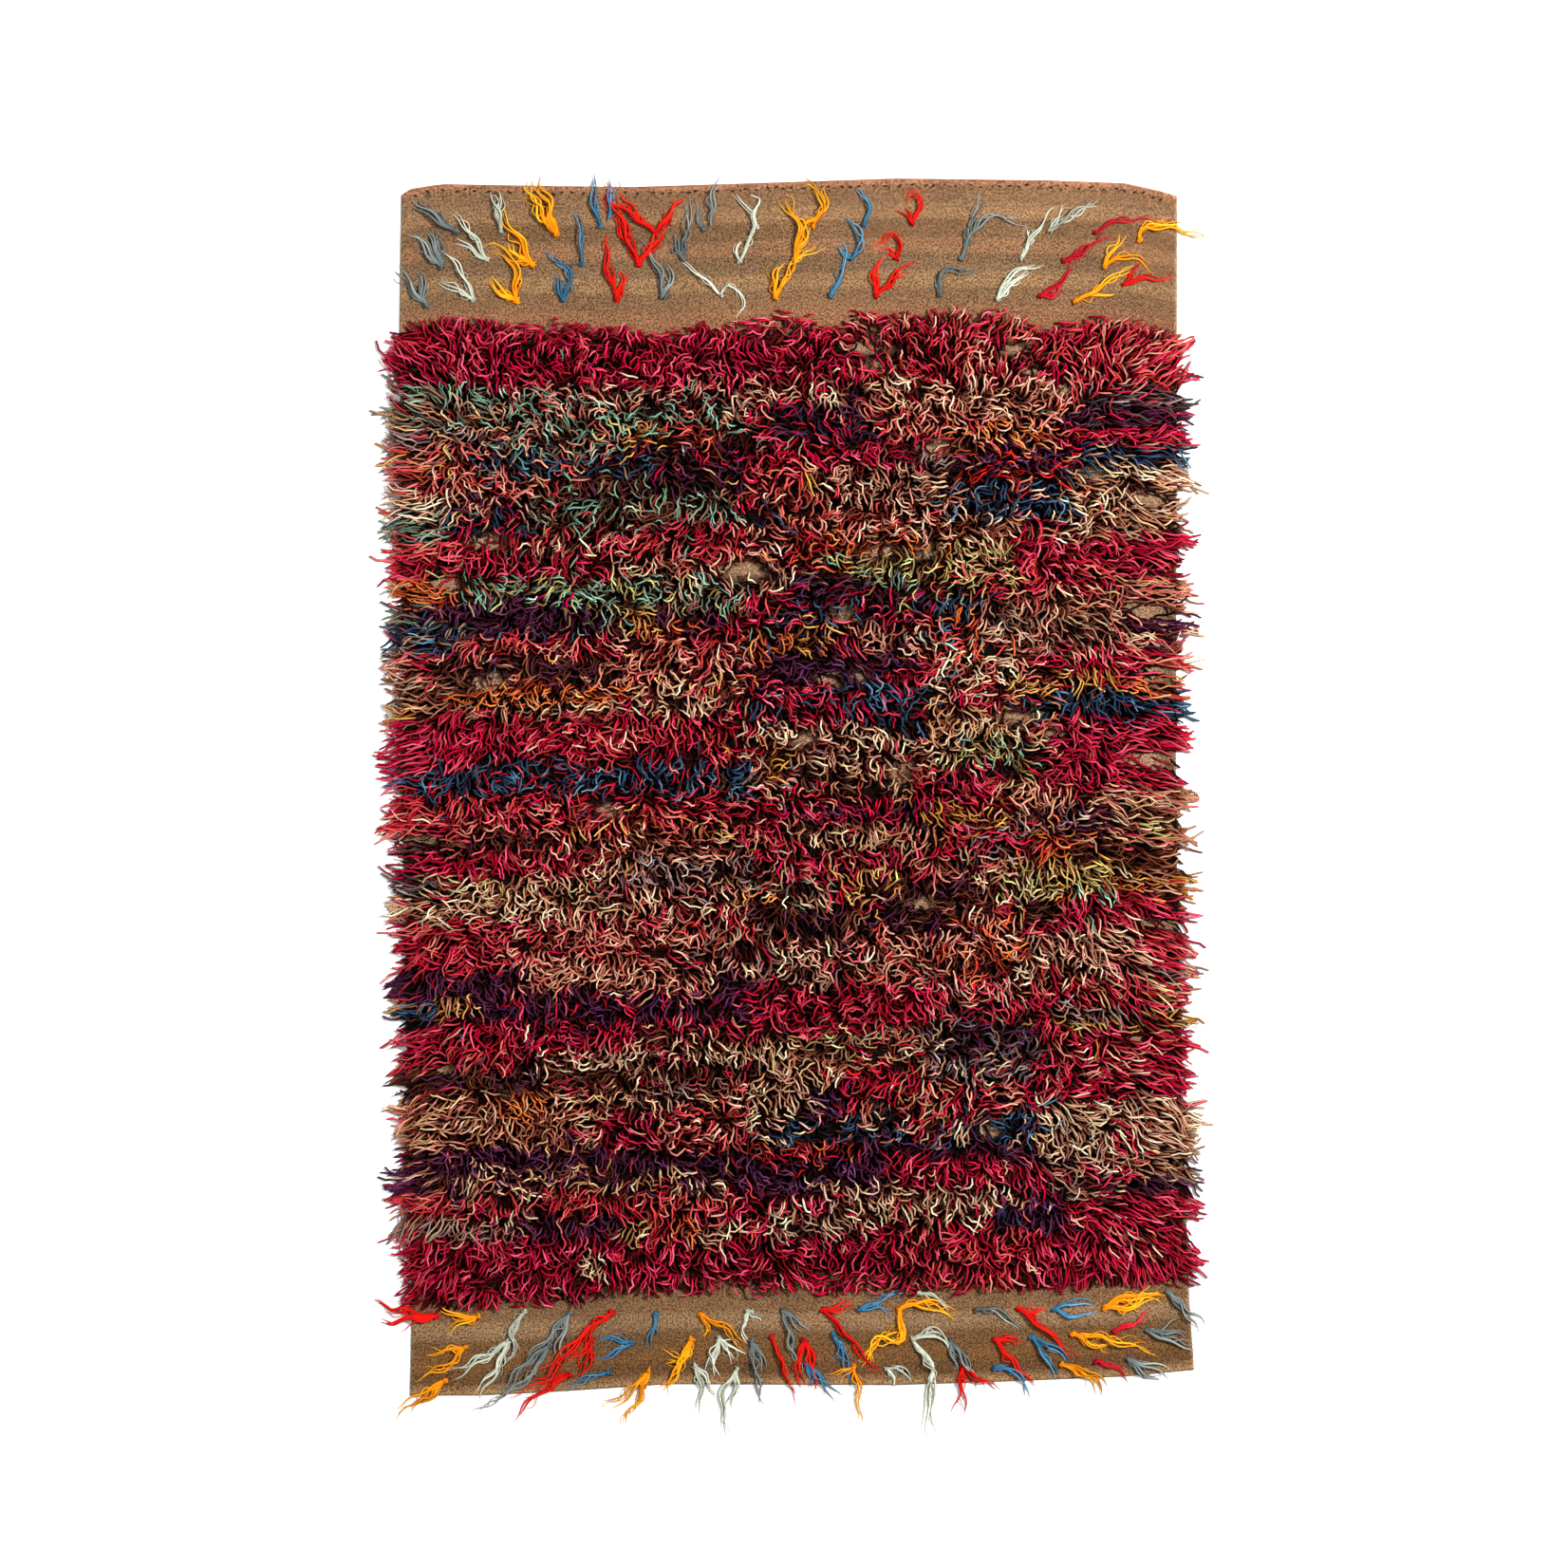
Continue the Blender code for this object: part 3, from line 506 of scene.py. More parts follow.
def strands(name, paths, radii, tints, material):
    """One ridged strand for each path, all in one object: a ridge on top and two sides."""
    count, points, _ = paths.shape
    way = np.gradient(paths, axis=1)
    way /= np.linalg.norm(way, axis=2, keepdims=True) + 1e-12
    side = np.cross(way, (0.0, 0.0, 1.0))
    flat = np.linalg.norm(side, axis=2, keepdims=True)
    side = np.where(flat < 0.05, (1.0, 0.0, 0.0), side / (flat + 1e-12))
    up = np.cross(side, way)
    rings = []
    for corner in range(3):
        angle = math.pi / 2 + TURN * corner / 3
        rings.append(paths + radii[..., None] * (math.cos(angle) * side + math.sin(angle) * up))
    verts = np.stack(rings, axis=2).reshape(-1, 3)

    # The two faces beside the ridge. The one underneath is left open.
    spans = np.arange(points - 1)
    ring = np.tile(np.stack([spans, spans + 1, spans + 1, spans], axis=1), (2, 1)).ravel()
    corner = np.concatenate([np.tile([k, k, k + 1, k + 1], points - 1) for k in (0, 2)])
    one = ring * 3 + corner % 3
    loops = (one[None] + np.arange(count)[:, None] * points * 3).ravel()
    sizes = np.full(2 * (points - 1) * count, 4)

    # Each strand has a cell of the map for baking, and the yarn map is metres along and turns round.
    columns = max(1, int(math.sqrt(count / 4)))
    rows = math.ceil(count / columns)
    length_share = 0.04 + 0.92 * ring / (points - 1)
    round_share = 0.5 + 0.44 * np.where(corner >= 2, corner - 3, corner)
    cell = np.arange(count)[:, None]
    baked = [(cell % columns + length_share) / columns, (cell // columns + round_share) / rows]
    steps = np.linalg.norm(np.diff(paths, axis=1), axis=2)
    far = np.concatenate([np.zeros((count, 1)), np.cumsum(steps, axis=1)], axis=1)
    yarn = [far[:, ring], np.broadcast_to(corner / 3, (count, len(ring)))]
    maps = {"yarn": np.stack(yarn, axis=-1), "OFBake": np.stack(baked, axis=-1)}
    return mesh_object(name, verts, loops, sizes, material, np.repeat(tints.reshape(-1, 3), 3, axis=0), maps)


class Nodes:
    """Shorthand for building a material's node tree."""

    def __init__(self, name):
        self.material = bpy.data.materials.new(name)
        self.material.use_nodes = True
        self.tree = self.material.node_tree
        self.shader = self.tree.nodes["Principled BSDF"]

    def put(self, socket, value):
        """Links a socket of another node, or sets a number or colour."""
        if isinstance(value, bpy.types.NodeSocket):
            self.tree.links.new(value, socket)
        else:
            socket.default_value = value

    def add(self, kind, inputs=(), **settings):
        node = self.tree.nodes.new("ShaderNode" + kind)
        for key, value in settings.items():
            setattr(node, key, value)
        for key, value in dict(inputs).items():
            self.put(node.inputs[key], value)
        return node

    def math(self, operation, first, second=0.0):
        return self.add("Math", {0: first, 1: second}, operation=operation).outputs[0]

    def scaled(self, value, by, plus):
        """The value times a number, and another value or number on top."""
        return self.math("ADD", self.math("MULTIPLY", value, by), plus)

    def product(self, value, *others):
        for other in others:
            value = self.math("MULTIPLY", value, other)
        return value

    def noise(self, where, scale, detail):
        return self.add("TexNoise", {"Vector": where, "Scale": scale, "Detail": detail}).outputs[0]

    def stretched(self, where, scale):
        """The place with each of its parts scaled."""
        return self.add("Mapping", {"Vector": where, "Scale": scale}).outputs[0]

    def ramp(self, value, low, high, first, last, kind="SMOOTHSTEP"):
        """A number from first to last as the value goes from low to high."""
        inputs = {0: value, 1: low, 2: high, 3: first, 4: last}
        return self.add("MapRange", inputs, interpolation_type=kind).outputs[0]

    def shade(self, colour, factor):
        """The colour times a factor."""
        grey = self.add("CombineColor", {0: factor, 1: factor, 2: factor}).outputs[0]
        inputs = {0: 1.0, 6: colour, 7: grey}
        return self.add("Mix", inputs, data_type="RGBA", blend_type="MULTIPLY").outputs[2]

    def bump(self, height, strength, depth):
        return self.add("Bump", {"Height": height, "Strength": strength, "Distance": depth}).outputs[0]

    def set(self, **inputs):
        for key, value in inputs.items():
            self.put(self.shader.inputs[key.replace("_", " ")], value)
        return self.material


def wool_sockets(n):
    """The dye, the place on a strand, its two parts, the place in space, and how far from the ridge."""
    tint = n.add("Attribute", attribute_name="tint").outputs["Color"]
    place = n.add("UVMap", uv_map="yarn").outputs[0]
    far, turn = n.add("SeparateXYZ", {0: place}).outputs[:2]
    where = n.add("TexCoord").outputs["Object"]
    from_ridge = n.math("ABSOLUTE", n.math("SUBTRACT", turn, 0.5))
    return tint, place, far, turn, where, from_ridge


def yarn_material(name, twists, fleck, roughness, outline):
    """Wool yarn: its own dye, two twisted plies, lighter and darker fibres, painted shade along its sides
    where strands meet, and a painted highlight along its ridge.
    """
    n = Nodes(name)
    tint, _, far, turn, where, from_ridge = wool_sockets(n)
    ply = n.math("SINE", n.math("MULTIPLY", n.scaled(far, twists, turn), 2 * TURN))
    fibre = n.noise(where, 900.0, 3.0)
    patch = n.noise(where, 60.0, 2.0)
    light = n.product(
        n.scaled(fibre, fleck, 1.0 - fleck * 0.5),
        n.scaled(ply, 0.10, 0.96),
        n.scaled(patch, 0.3, 0.85),
        # Painted shade along the sides where strands meet, as deep as outline sets, and a painted highlight
        # along the ridge.
        n.ramp(from_ridge, 0.23, 0.35, 1.0 - outline, 1.1),
        n.scaled(from_ridge, 1.6, 0.4),
    )
    return n.set(
        Base_Color=n.shade(tint, light),
        Roughness=n.scaled(fibre, 0.2, roughness - 0.1),
        Normal=n.bump(n.scaled(ply, 0.6, fibre), 0.5, 0.6 * MM),
        Specular_IOR_Level=0.06,
    )


def wool_material():
    """Unspun wool: streaks of fibre along each wisp, a painted highlight over the middle and painted shade at
    its sides.
    """
    n = Nodes("tuft_wool_unspun")
    tint, place, _, _, where, from_ridge = wool_sockets(n)
    drawn = n.stretched(place, (90.0, 22.0, 1.0))
    moved = n.stretched(where, (50.0, 50.0, 50.0))
    streak = n.noise(n.add("VectorMath", {0: drawn, 1: moved}, operation="ADD").outputs[0], 1.0, 3.0)
    fuzz = n.noise(where, 700.0, 2.0)
    light = n.product(
        n.scaled(streak, 2.8, -0.4),
        n.scaled(fuzz, 0.4, 0.8),
        # Painted shade at the sides and a painted highlight over the middle.
        n.ramp(from_ridge, 0.18, 0.36, 0.22, 1.1),
    )
    return n.set(
        Base_Color=n.shade(tint, light),
        Roughness=n.scaled(fuzz, 0.2, 0.75),
        Normal=n.bump(streak, 0.6, 0.8 * MM),
        Specular_IOR_Level=0.1,
    )


def cloth_material():
    """Weft-faced wool cloth: ribs, cross picks, heathered yarn and a little soiling."""
    n = Nodes("ground_weave_wool")
    tint = n.add("Attribute", attribute_name="tint").outputs["Color"]
    where = n.add("TexCoord").outputs["Object"]
    across, up = n.add("SeparateXYZ", {0: where}).outputs[:2]
    warp_bend = n.noise(where, 22.0, 2.0)
    rib = n.math("SINE", n.math("MULTIPLY", n.scaled(warp_bend, 0.004, across), TURN / RIB_APART))
    pick = n.math("SINE", n.math("MULTIPLY", n.scaled(warp_bend, 0.003, up), TURN / PICK_APART))
    lattice = n.math("MULTIPLY", rib, pick)
    fibre = n.noise(where, 520.0, 3.0)
    grain = n.noise(where, 360.0, 2.0)
    picks = n.noise(n.stretched(where, (40.0, 330.0, 1.0)), 1.0, 2.0)
    soil = n.noise(where, 5.0, 3.0)
    light = n.product(
        n.scaled(lattice, 0.65, 1.0),
        n.scaled(fibre, 2.2, -0.1),
        n.ramp(grain, 0.38, 0.56, 0.35, 1.15, "LINEAR"),
        n.scaled(picks, 0.5, 0.75),
        n.scaled(soil, 0.3, 0.85),
    )
    return n.set(
        Base_Color=n.shade(tint, light),
        Roughness=n.scaled(fibre, 0.15, 0.82),
        Normal=n.bump(n.scaled(lattice, 0.5, n.math("MULTIPLY", fibre, 0.7)), 0.8, 0.9 * MM),
        Specular_IOR_Level=0.06,
    )


def floor_material():
    """Matt white paper."""
    n = Nodes("studio_paper")
    return n.set(Base_Color=(0.93, 0.93, 0.93, 1.0), Roughness=0.9, Specular_IOR_Level=0.1)


def bands(table, distance):
    """Dyed colour of an end's woven bands at each distance in from the end."""
    places, colours = zip(*table)
    colours = linear(colours) * BAND_DEPTH
    return np.stack([np.interp(distance, places, colours[:, k]) for k in range(3)], axis=-1)


def cloth_points():
    """Points of the cloth in pixels, closer together at its sides and over its two flat ends."""
    left_rim, right_rim = [0, 0.0015, 0.004, 0.0065], [0.9935, 0.996, 0.9985, 1]
    shares = np.concatenate([left_rim, np.linspace(0.012, 0.988, 92), right_rim])
    hem_rows = [0, 1.2, 3, 5, 7, 9, 10.5, 12, 13.5]
    from_top = np.concatenate([hem_rows, np.arange(16, 152, 2.6), [156, 162, 172]])
    from_bottom = np.concatenate([[0, 1.2, 3], np.arange(5, 106, 2.6), [110, 120]])
    rows = [("top", value) for value in from_top]
    rows += [("middle", value) for value in np.linspace(0, 1, 132)[1:-1]]
    rows += [("bottom", value) for value in from_bottom[::-1]]
    x, y = np.empty((2, len(rows), len(shares)))
    for row, (kind, value) in enumerate(rows):
        x[row] = ABOUT_LEFT_PX + shares * ABOUT_WIDE_PX
        for _ in range(4):
            top, bottom = along(TOP_EDGE, x[row]), along(BOTTOM_EDGE, x[row])
            low, high = top + from_top[-1], bottom - from_bottom[-1]
            between = low + value * (high - low)
            y[row] = {"top": top + value, "bottom": bottom - value, "middle": between}[kind]
            left, right = along(LEFT_EDGE, y[row]), along(RIGHT_EDGE, y[row])
            x[row] = left + shares * (right - left)
    return x, y


def cloth_heights(x, y):
    """Heights of both sides of the cloth: hem, selvedges, a rounded rim and slight waviness."""
    to_top, _, to_side = distances(x, y)
    to_rim = inside(x, y)
    wave = 0.6 * MM * unevenness(x, y, 34, 11) + 0.35 * MM * unevenness(x, y, 12, 12)
    z = CLOTH_THICK + wave
    hem = np.clip((HEM_PX + 1.5 - to_top) / 3, 0, 1)
    pucker = 0.35 * MM * unevenness(x, y * 0.2, 9, 13)
    z = z + hem * (HEM_RISE + pucker)
    z = z + SELVEDGE_RISE * np.clip((SELVEDGE_PX + 1 - to_side) / 2, 0, 1) * (1 - hem)
    z = RIM_THICK + (z - RIM_THICK) * np.sqrt(np.clip(to_rim / 3.0, 0, 1))
    lift = 0.25 * MM + 0.25 * MM * unevenness(x, y, 60, 14)
    return z, np.where(to_rim < 0.01, lift, 0.0)


def cloth_tint(x, y):
    """Colour of the cloth: bands on the ends, painted shade on the ground under the shag, the cloth painted
    lighter in its thin places, paler selvedges.
    """
    to_top, to_bottom, to_side = distances(x, y)
    nearer_top = (to_top < to_bottom)[..., None]
    tint = np.where(nearer_top, bands(TOP_BANDS, to_top), bands(BOTTOM_BANDS, to_bottom))
    wander = 2.5 * unevenness(x, y, 25, 15)
    # Painted shade under the shag, less of it near the sides; the thin places show the lighter cloth instead.
    field_shade = np.minimum(to_top - DARK_FROM_TOP, to_bottom - DARK_FROM_BOTTOM)
    field_shade = np.clip((field_shade + wander) / 10, 0, 1)
    field_shade = (field_shade * np.clip((to_side - 6) / 16, 0.35, 1))[..., None]
    bare = np.clip(1.3 * bareness(x, y, 1.35), 0, 0.95)[..., None]
    ground = linear(MIDDLE_GROUND) * bare + linear(SHADE_UNDER_SHAG) * (1 - bare)
    tint = tint * (1 - field_shade) + ground * field_shade
    tint = tint * (1 + 0.10 * unevenness(x, y, 40, 16) + 0.06 * unevenness(x, y * 3, 14, 17))[..., None]
    edge = np.clip(1 - to_side / 3.5, 0, 1)[..., None]
    return tint * (1 - 0.25 * edge) + linear(SELVEDGE_COLOUR) * 0.25 * edge


def make_cloth():
    """The ground cloth as a closed sheet: its upper side, its underside and the wall round them."""
    x, y = cloth_points()
    upper, under = cloth_heights(x, y)
    verts = np.concatenate([metres(x, y, upper).reshape(-1, 3), metres(x, y, under).reshape(-1, 3)])
    index = np.arange(x.size).reshape(x.shape)
    a, b, c, d = index[:-1, :-1], index[:-1, 1:], index[1:, 1:], index[1:, :-1]
    top = np.stack([a, d, c, b], axis=-1).reshape(-1, 4)
    below = np.stack([a, b, c, d], axis=-1).reshape(-1, 4) + x.size
    ring = np.concatenate([index[0, :-1], index[:-1, -1], index[-1, :0:-1], index[:0:-1, 0]])
    after = np.roll(ring, -1)
    wall = np.stack([ring, after, after + x.size, ring + x.size], axis=-1)
    faces = np.concatenate([top, below, wall])

    # In the map for baking the upper side takes the left two thirds, and the wall a strip.
    spread = np.concatenate([np.stack([x, y], axis=-1).reshape(-1, 2)] * 2)[faces.ravel()]
    spread = (spread - (400, 170)) / (900, 1330)
    kind = np.repeat([0, 1, 2], [4 * len(top), 4 * len(below), 4 * len(wall)])
    u = np.where(kind == 0, 0.66 * spread[:, 0], 0.68 + 0.24 * spread[:, 0])
    v = np.where(kind == 0, spread[:, 1], 0.36 * spread[:, 1])
    u[kind == 2] = 0.94 + 0.04 * np.tile([0, 0, 1, 1], len(wall))
    v[kind == 2] = (np.arange(len(wall))[:, None] + (0, 1, 1, 0)).ravel() / len(wall)
    tint = np.concatenate([cloth_tint(x, y).reshape(-1, 3)] * 2)
    sizes = np.full(len(faces), 4)
    maps = {"OFBake": np.stack([u, v], axis=-1)}
    return mesh_object("ground_cloth", verts, faces.ravel(), sizes, cloth_material(), tint, maps)


def make_stitches(rng):
    """The dark thread that holds the hem down, a run of short stitches."""
    at = [STITCHES_FROM]
    while at[-1] < STITCHES_TO:
        at.append(at[-1] + rng.uniform(6.5, 17))
    x = np.array(at)
    y = along(TOP_EDGE, x) + STITCH_LINE_PX + rng.normal(0, 1.0, len(x))
    half = rng.uniform(1.2, 2.4, len(x))
    lean = rng.normal(0, 0.35, len(x))
    t = np.linspace(-1, 1, 6)
    px = x[:, None] + half[:, None] * t * np.cos(lean)[:, None]
    py = y[:, None] + half[:, None] * t * np.sin(lean)[:, None]
    pz = CLOTH_THICK + HEM_RISE + (1.5 * MM - 1.4 * MM * t**4)
    radii = np.broadcast_to(STITCH_RADIUS * (1 - 0.3 * t**4), px.shape)
    tint = np.broadcast_to(linear(THREAD_COLOUR), (*px.shape, 3))
    thread = yarn_material("hem_thread", twists=500.0, fleck=0.3, roughness=0.8, outline=0.4)
    return strands("hem_stitches", metres(px, py, pz), radii, tint, thread)


def pick_dyes(x, y, rng):
    """Index of each strand's dye from the stripes, with ragged edges."""
    names = list(DYES)
    chosen = np.zeros(len(x), int)
    from_afar = rng.uniform(0, 1, len(x)) < 0.24
    x = x + rng.normal(0, 7, len(x)) * np.where(from_afar, 4, 1) + 9 * unevenness(x, y, 24, 21)
    y = y + rng.normal(0, 2.6, len(y)) * np.where(from_afar, 6, 1) + 5 * unevenness(x, y, 34, 22)
    x = x.clip(382, 1298)
    for stripe in STRIPES.split(","):
        words = stripe.split()
        left, right, top, bottom = map(int, words[:4])
        mixed = [names.index(name) for name in words[4:]]
        here = np.flatnonzero((x >= left) & (x < right) & (y >= top) & (y < bottom))
        draw = rng.choice(len(mixed), len(here), p=DYE_SHARES[len(mixed)])
        chosen[here] = np.array(mixed)[draw]
    return chosen


def heading(x, y):
    """Angle at which strands lie at a place, and how settled it is there."""
    left, right = along(LEFT_EDGE, y), along(RIGHT_EDGE, y)
    top, bottom = field_ends(x)
    share = (y - top) / (bottom - top)
    side = np.exp(-np.maximum(right - x, 0) / COMB_RIGHT_PX)
    side = side - np.exp(-np.maximum(x - left, 0) / COMB_LEFT_PX)
    lean = (x - 0.5 * (left + right)) / (right - left)
    end = np.interp(share, *END_LEAN)
    settled = np.clip(1.5 * np.abs(side) ** 0.7 + np.maximum(np.abs(end) - 0.6, 0) * 0.3, 0, 1)
    slant = 0.35 * np.maximum(share - 0.4, 0) * np.abs(side)
    sweep = 0.7 * unevenness(x, y * 1.6, 90, 33)
    turn = 1.1 * unevenness(x, y, 50, 31) + 0.9 * unevenness(x, y, 22, 32)
    free = 1.0 - 0.85 * settled
    return np.arctan2(end + slant, 1.8 * side + 0.3 * lean + free * sweep) + free * turn, settled


def envelope(x, y):
    """Height of the shag's top over the floor, in metres."""
    past = 12
    top = along(TOP_EDGE, x) + FIELD_FROM_TOP - past
    bottom = along(BOTTOM_EDGE, x) - FIELD_FROM_BOTTOM + past
    to_end = np.minimum(y - top, bottom - y)
    lump = PILE_HIGH_MM + 6.5 * unevenness(x, y, 80, 41) + 4 * unevenness(x, y, 30, 42)
    row = 1.5 * np.cos(TURN * (y - top) / ROW_APART_PX)
    side_rim = np.interp(distances(x, y)[2], *HEIGHT_BY_SIDE)
    end_rim = np.interp(to_end, *HEIGHT_BY_END)
    return (lump + row) * np.minimum(side_rim, end_rim) * (1 - 0.6 * bareness(x, y)) * MM


def spread_knots(rng):
    """Where the wool of each knot lies, in rows over the field, and how far that is from the sides."""
    number = np.arange(ROWS * KNOTS_A_ROW)
    across = (number % KNOTS_A_ROW + rng.uniform(0, 1, len(number))) / KNOTS_A_ROW
    across = across - 0.036 * np.sin(TURN * across)
    down = (number // KNOTS_A_ROW + rng.uniform(0, 1, len(number))) / ROWS
    x = ABOUT_LEFT_PX + 1 + across * ABOUT_WIDE_PX
    for _ in range(3):
        top, bottom = field_ends(x)
        top, bottom = top + 0.5 * along(TOP_REACH, x), bottom + 0.3 * along(BOTTOM_REACH, x)
        y = top + down * (bottom - top)
        left, right = along(LEFT_EDGE, y), along(RIGHT_EDGE, y)
        x = left - 11 + across * (right - left + 20)
    return x, y, x - left, right - x


def lay_knots(rng):
    """Place, heading, curl, level and length of each knot's wool."""
    lie_x, lie_y, to_left, to_right = spread_knots(rng)
    count = len(lie_x)
    near = np.minimum(to_left, to_right)
    angle, settled = heading(lie_x, lie_y)
    loose = 1 - settled
    angle = angle + rng.normal(0, 0.55, count) * (0.45 + 0.55 * loose)
    astray = rng.uniform(0, 1, count) < 0.2
    angle = angle + rng.normal(0, 1.4, count) * astray * (0.15 + 0.85 * loose)
    curl = rng.normal(0, 1.1, count) * (0.35 + 0.65 * loose)
    crimp = rng.uniform(0.15, 0.7, count) * (0.45 + 0.55 * loose)
    beat, begin = rng.uniform(1.2, 2.6, count), rng.uniform(0, TURN, count)
    layer = (np.arange(count) + 2 * (np.arange(count) // KNOTS_A_ROW)) % 4
    level = np.choose(layer, KNOT_LEVELS) + rng.uniform(0, 0.2, count)

    # Strands that run out over a side end at different distances past it.
    length = rng.normal(YARN_LENGTH_PX, 4, count).clip(12, 34)
    length = length * (1 + 0.8 * np.exp(-np.maximum(near, 0) / np.where(to_left < to_right, 24, 45)))
    outward = np.cos(angle)
    lock = np.clip(0.8 + 0.6 * unevenness(lie_x * 0.3, lie_y, 11, 51), 0.12, 1.3)
    past = [rng.uniform(*HANG_RIGHT_PX, count), rng.uniform(*HANG_LEFT_PX, count)]
    past = np.where(outward > 0, *past) * lock
    notch = np.clip(0.5 - lock, 0, 1) * np.where(outward > 0, 44, 24)
    room = np.where(outward > 0, to_right, to_left) + past - notch
    length = np.minimum(length, np.maximum(room, 8) / (0.55 * np.maximum(np.abs(outward), 0.35)))
    x = lie_x - 0.45 * length * np.cos(angle)
    y = lie_y - 0.45 * length * np.sin(angle)
    x = np.clip(x, lie_x - to_left + 4, lie_x + to_right - 4)
    return SimpleNamespace(
        count=count, x=x, y=y, to_left=to_left, to_right=to_right, near=near, room=room, angle=angle,
        settled=settled, curl=curl, crimp=crimp, beat=beat, begin=begin, level=level, length=length,
    )


def strand_tints(x, y, level, settled, begin, past_rim, side_shade, rng):
    """Colour along each strand: its dye, paler at the tip from fading and painted highlights, painted shade
    at the root, low in the pile, in dips and towards the sides, and painted light past the rim and the last
    rows.
    """
    total, share = len(x), np.linspace(0, 1, SEGMENTS + 1)
    dye = pick_dyes(x[:, 3], y[:, 3], rng)
    deep = linear([DYES[name][0] for name in DYES])[dye]
    pale_tip = linear([DYES[name][1] for name in DYES])[dye]
    # Some strands go towards the pale tip colour, which stands for both fading and painted highlights.
    wear_and_highlight = rng.uniform(0.0, 1.0, total) ** 2.6
    fade = (wear_and_highlight[:, None] * np.clip((share - 0.15) / 0.45, 0, 1))[..., None]
    tint = deep[:, None] * (1 - fade) + pale_tip[:, None] * fade
    # Painted shade along the strand: dark at the root, and in dips along its length.
    shade = np.interp(share, *LIGHT_ALONG)
    dip_shade = 1 - 0.35 * np.clip(np.sin(begin[:, None] + 1.7 * np.arange(SEGMENTS + 1)), 0, 1)
    # Painted shade by level: strands low in the pile are darker, as if less light reached them.
    strand = np.interp(level, *LIGHT_BY_LEVEL)
    strand = strand ** (1 + 0.6 * settled) * np.exp(rng.normal(0.0, 0.3, total)).clip(0.4, 2.0)
    # Painted light past the rim and the last rows, and painted shade towards the sides.
    lit = np.maximum(strand[:, None] * shade, 0.9 * np.clip(past_rim, 0, 1))
    lit = lit * (1.04 - side_shade)
    tint = tint * (dip_shade * lit)[..., None]

    # Wool in deep painted shade is painted redder, as light that reaches deep wool has met other wool, and
    # wool painted bright, as tips mostly are, paler.
    red, cool = np.interp(lit, *RED_BY_LIGHT), np.interp(lit, *COOL_BY_LIGHT)
    tint = tint * np.stack([red, cool, cool], axis=-1)
    return (tint * rng.normal(1, 0.05, (total, 1, 3))).clip(0.0005, 0.92)


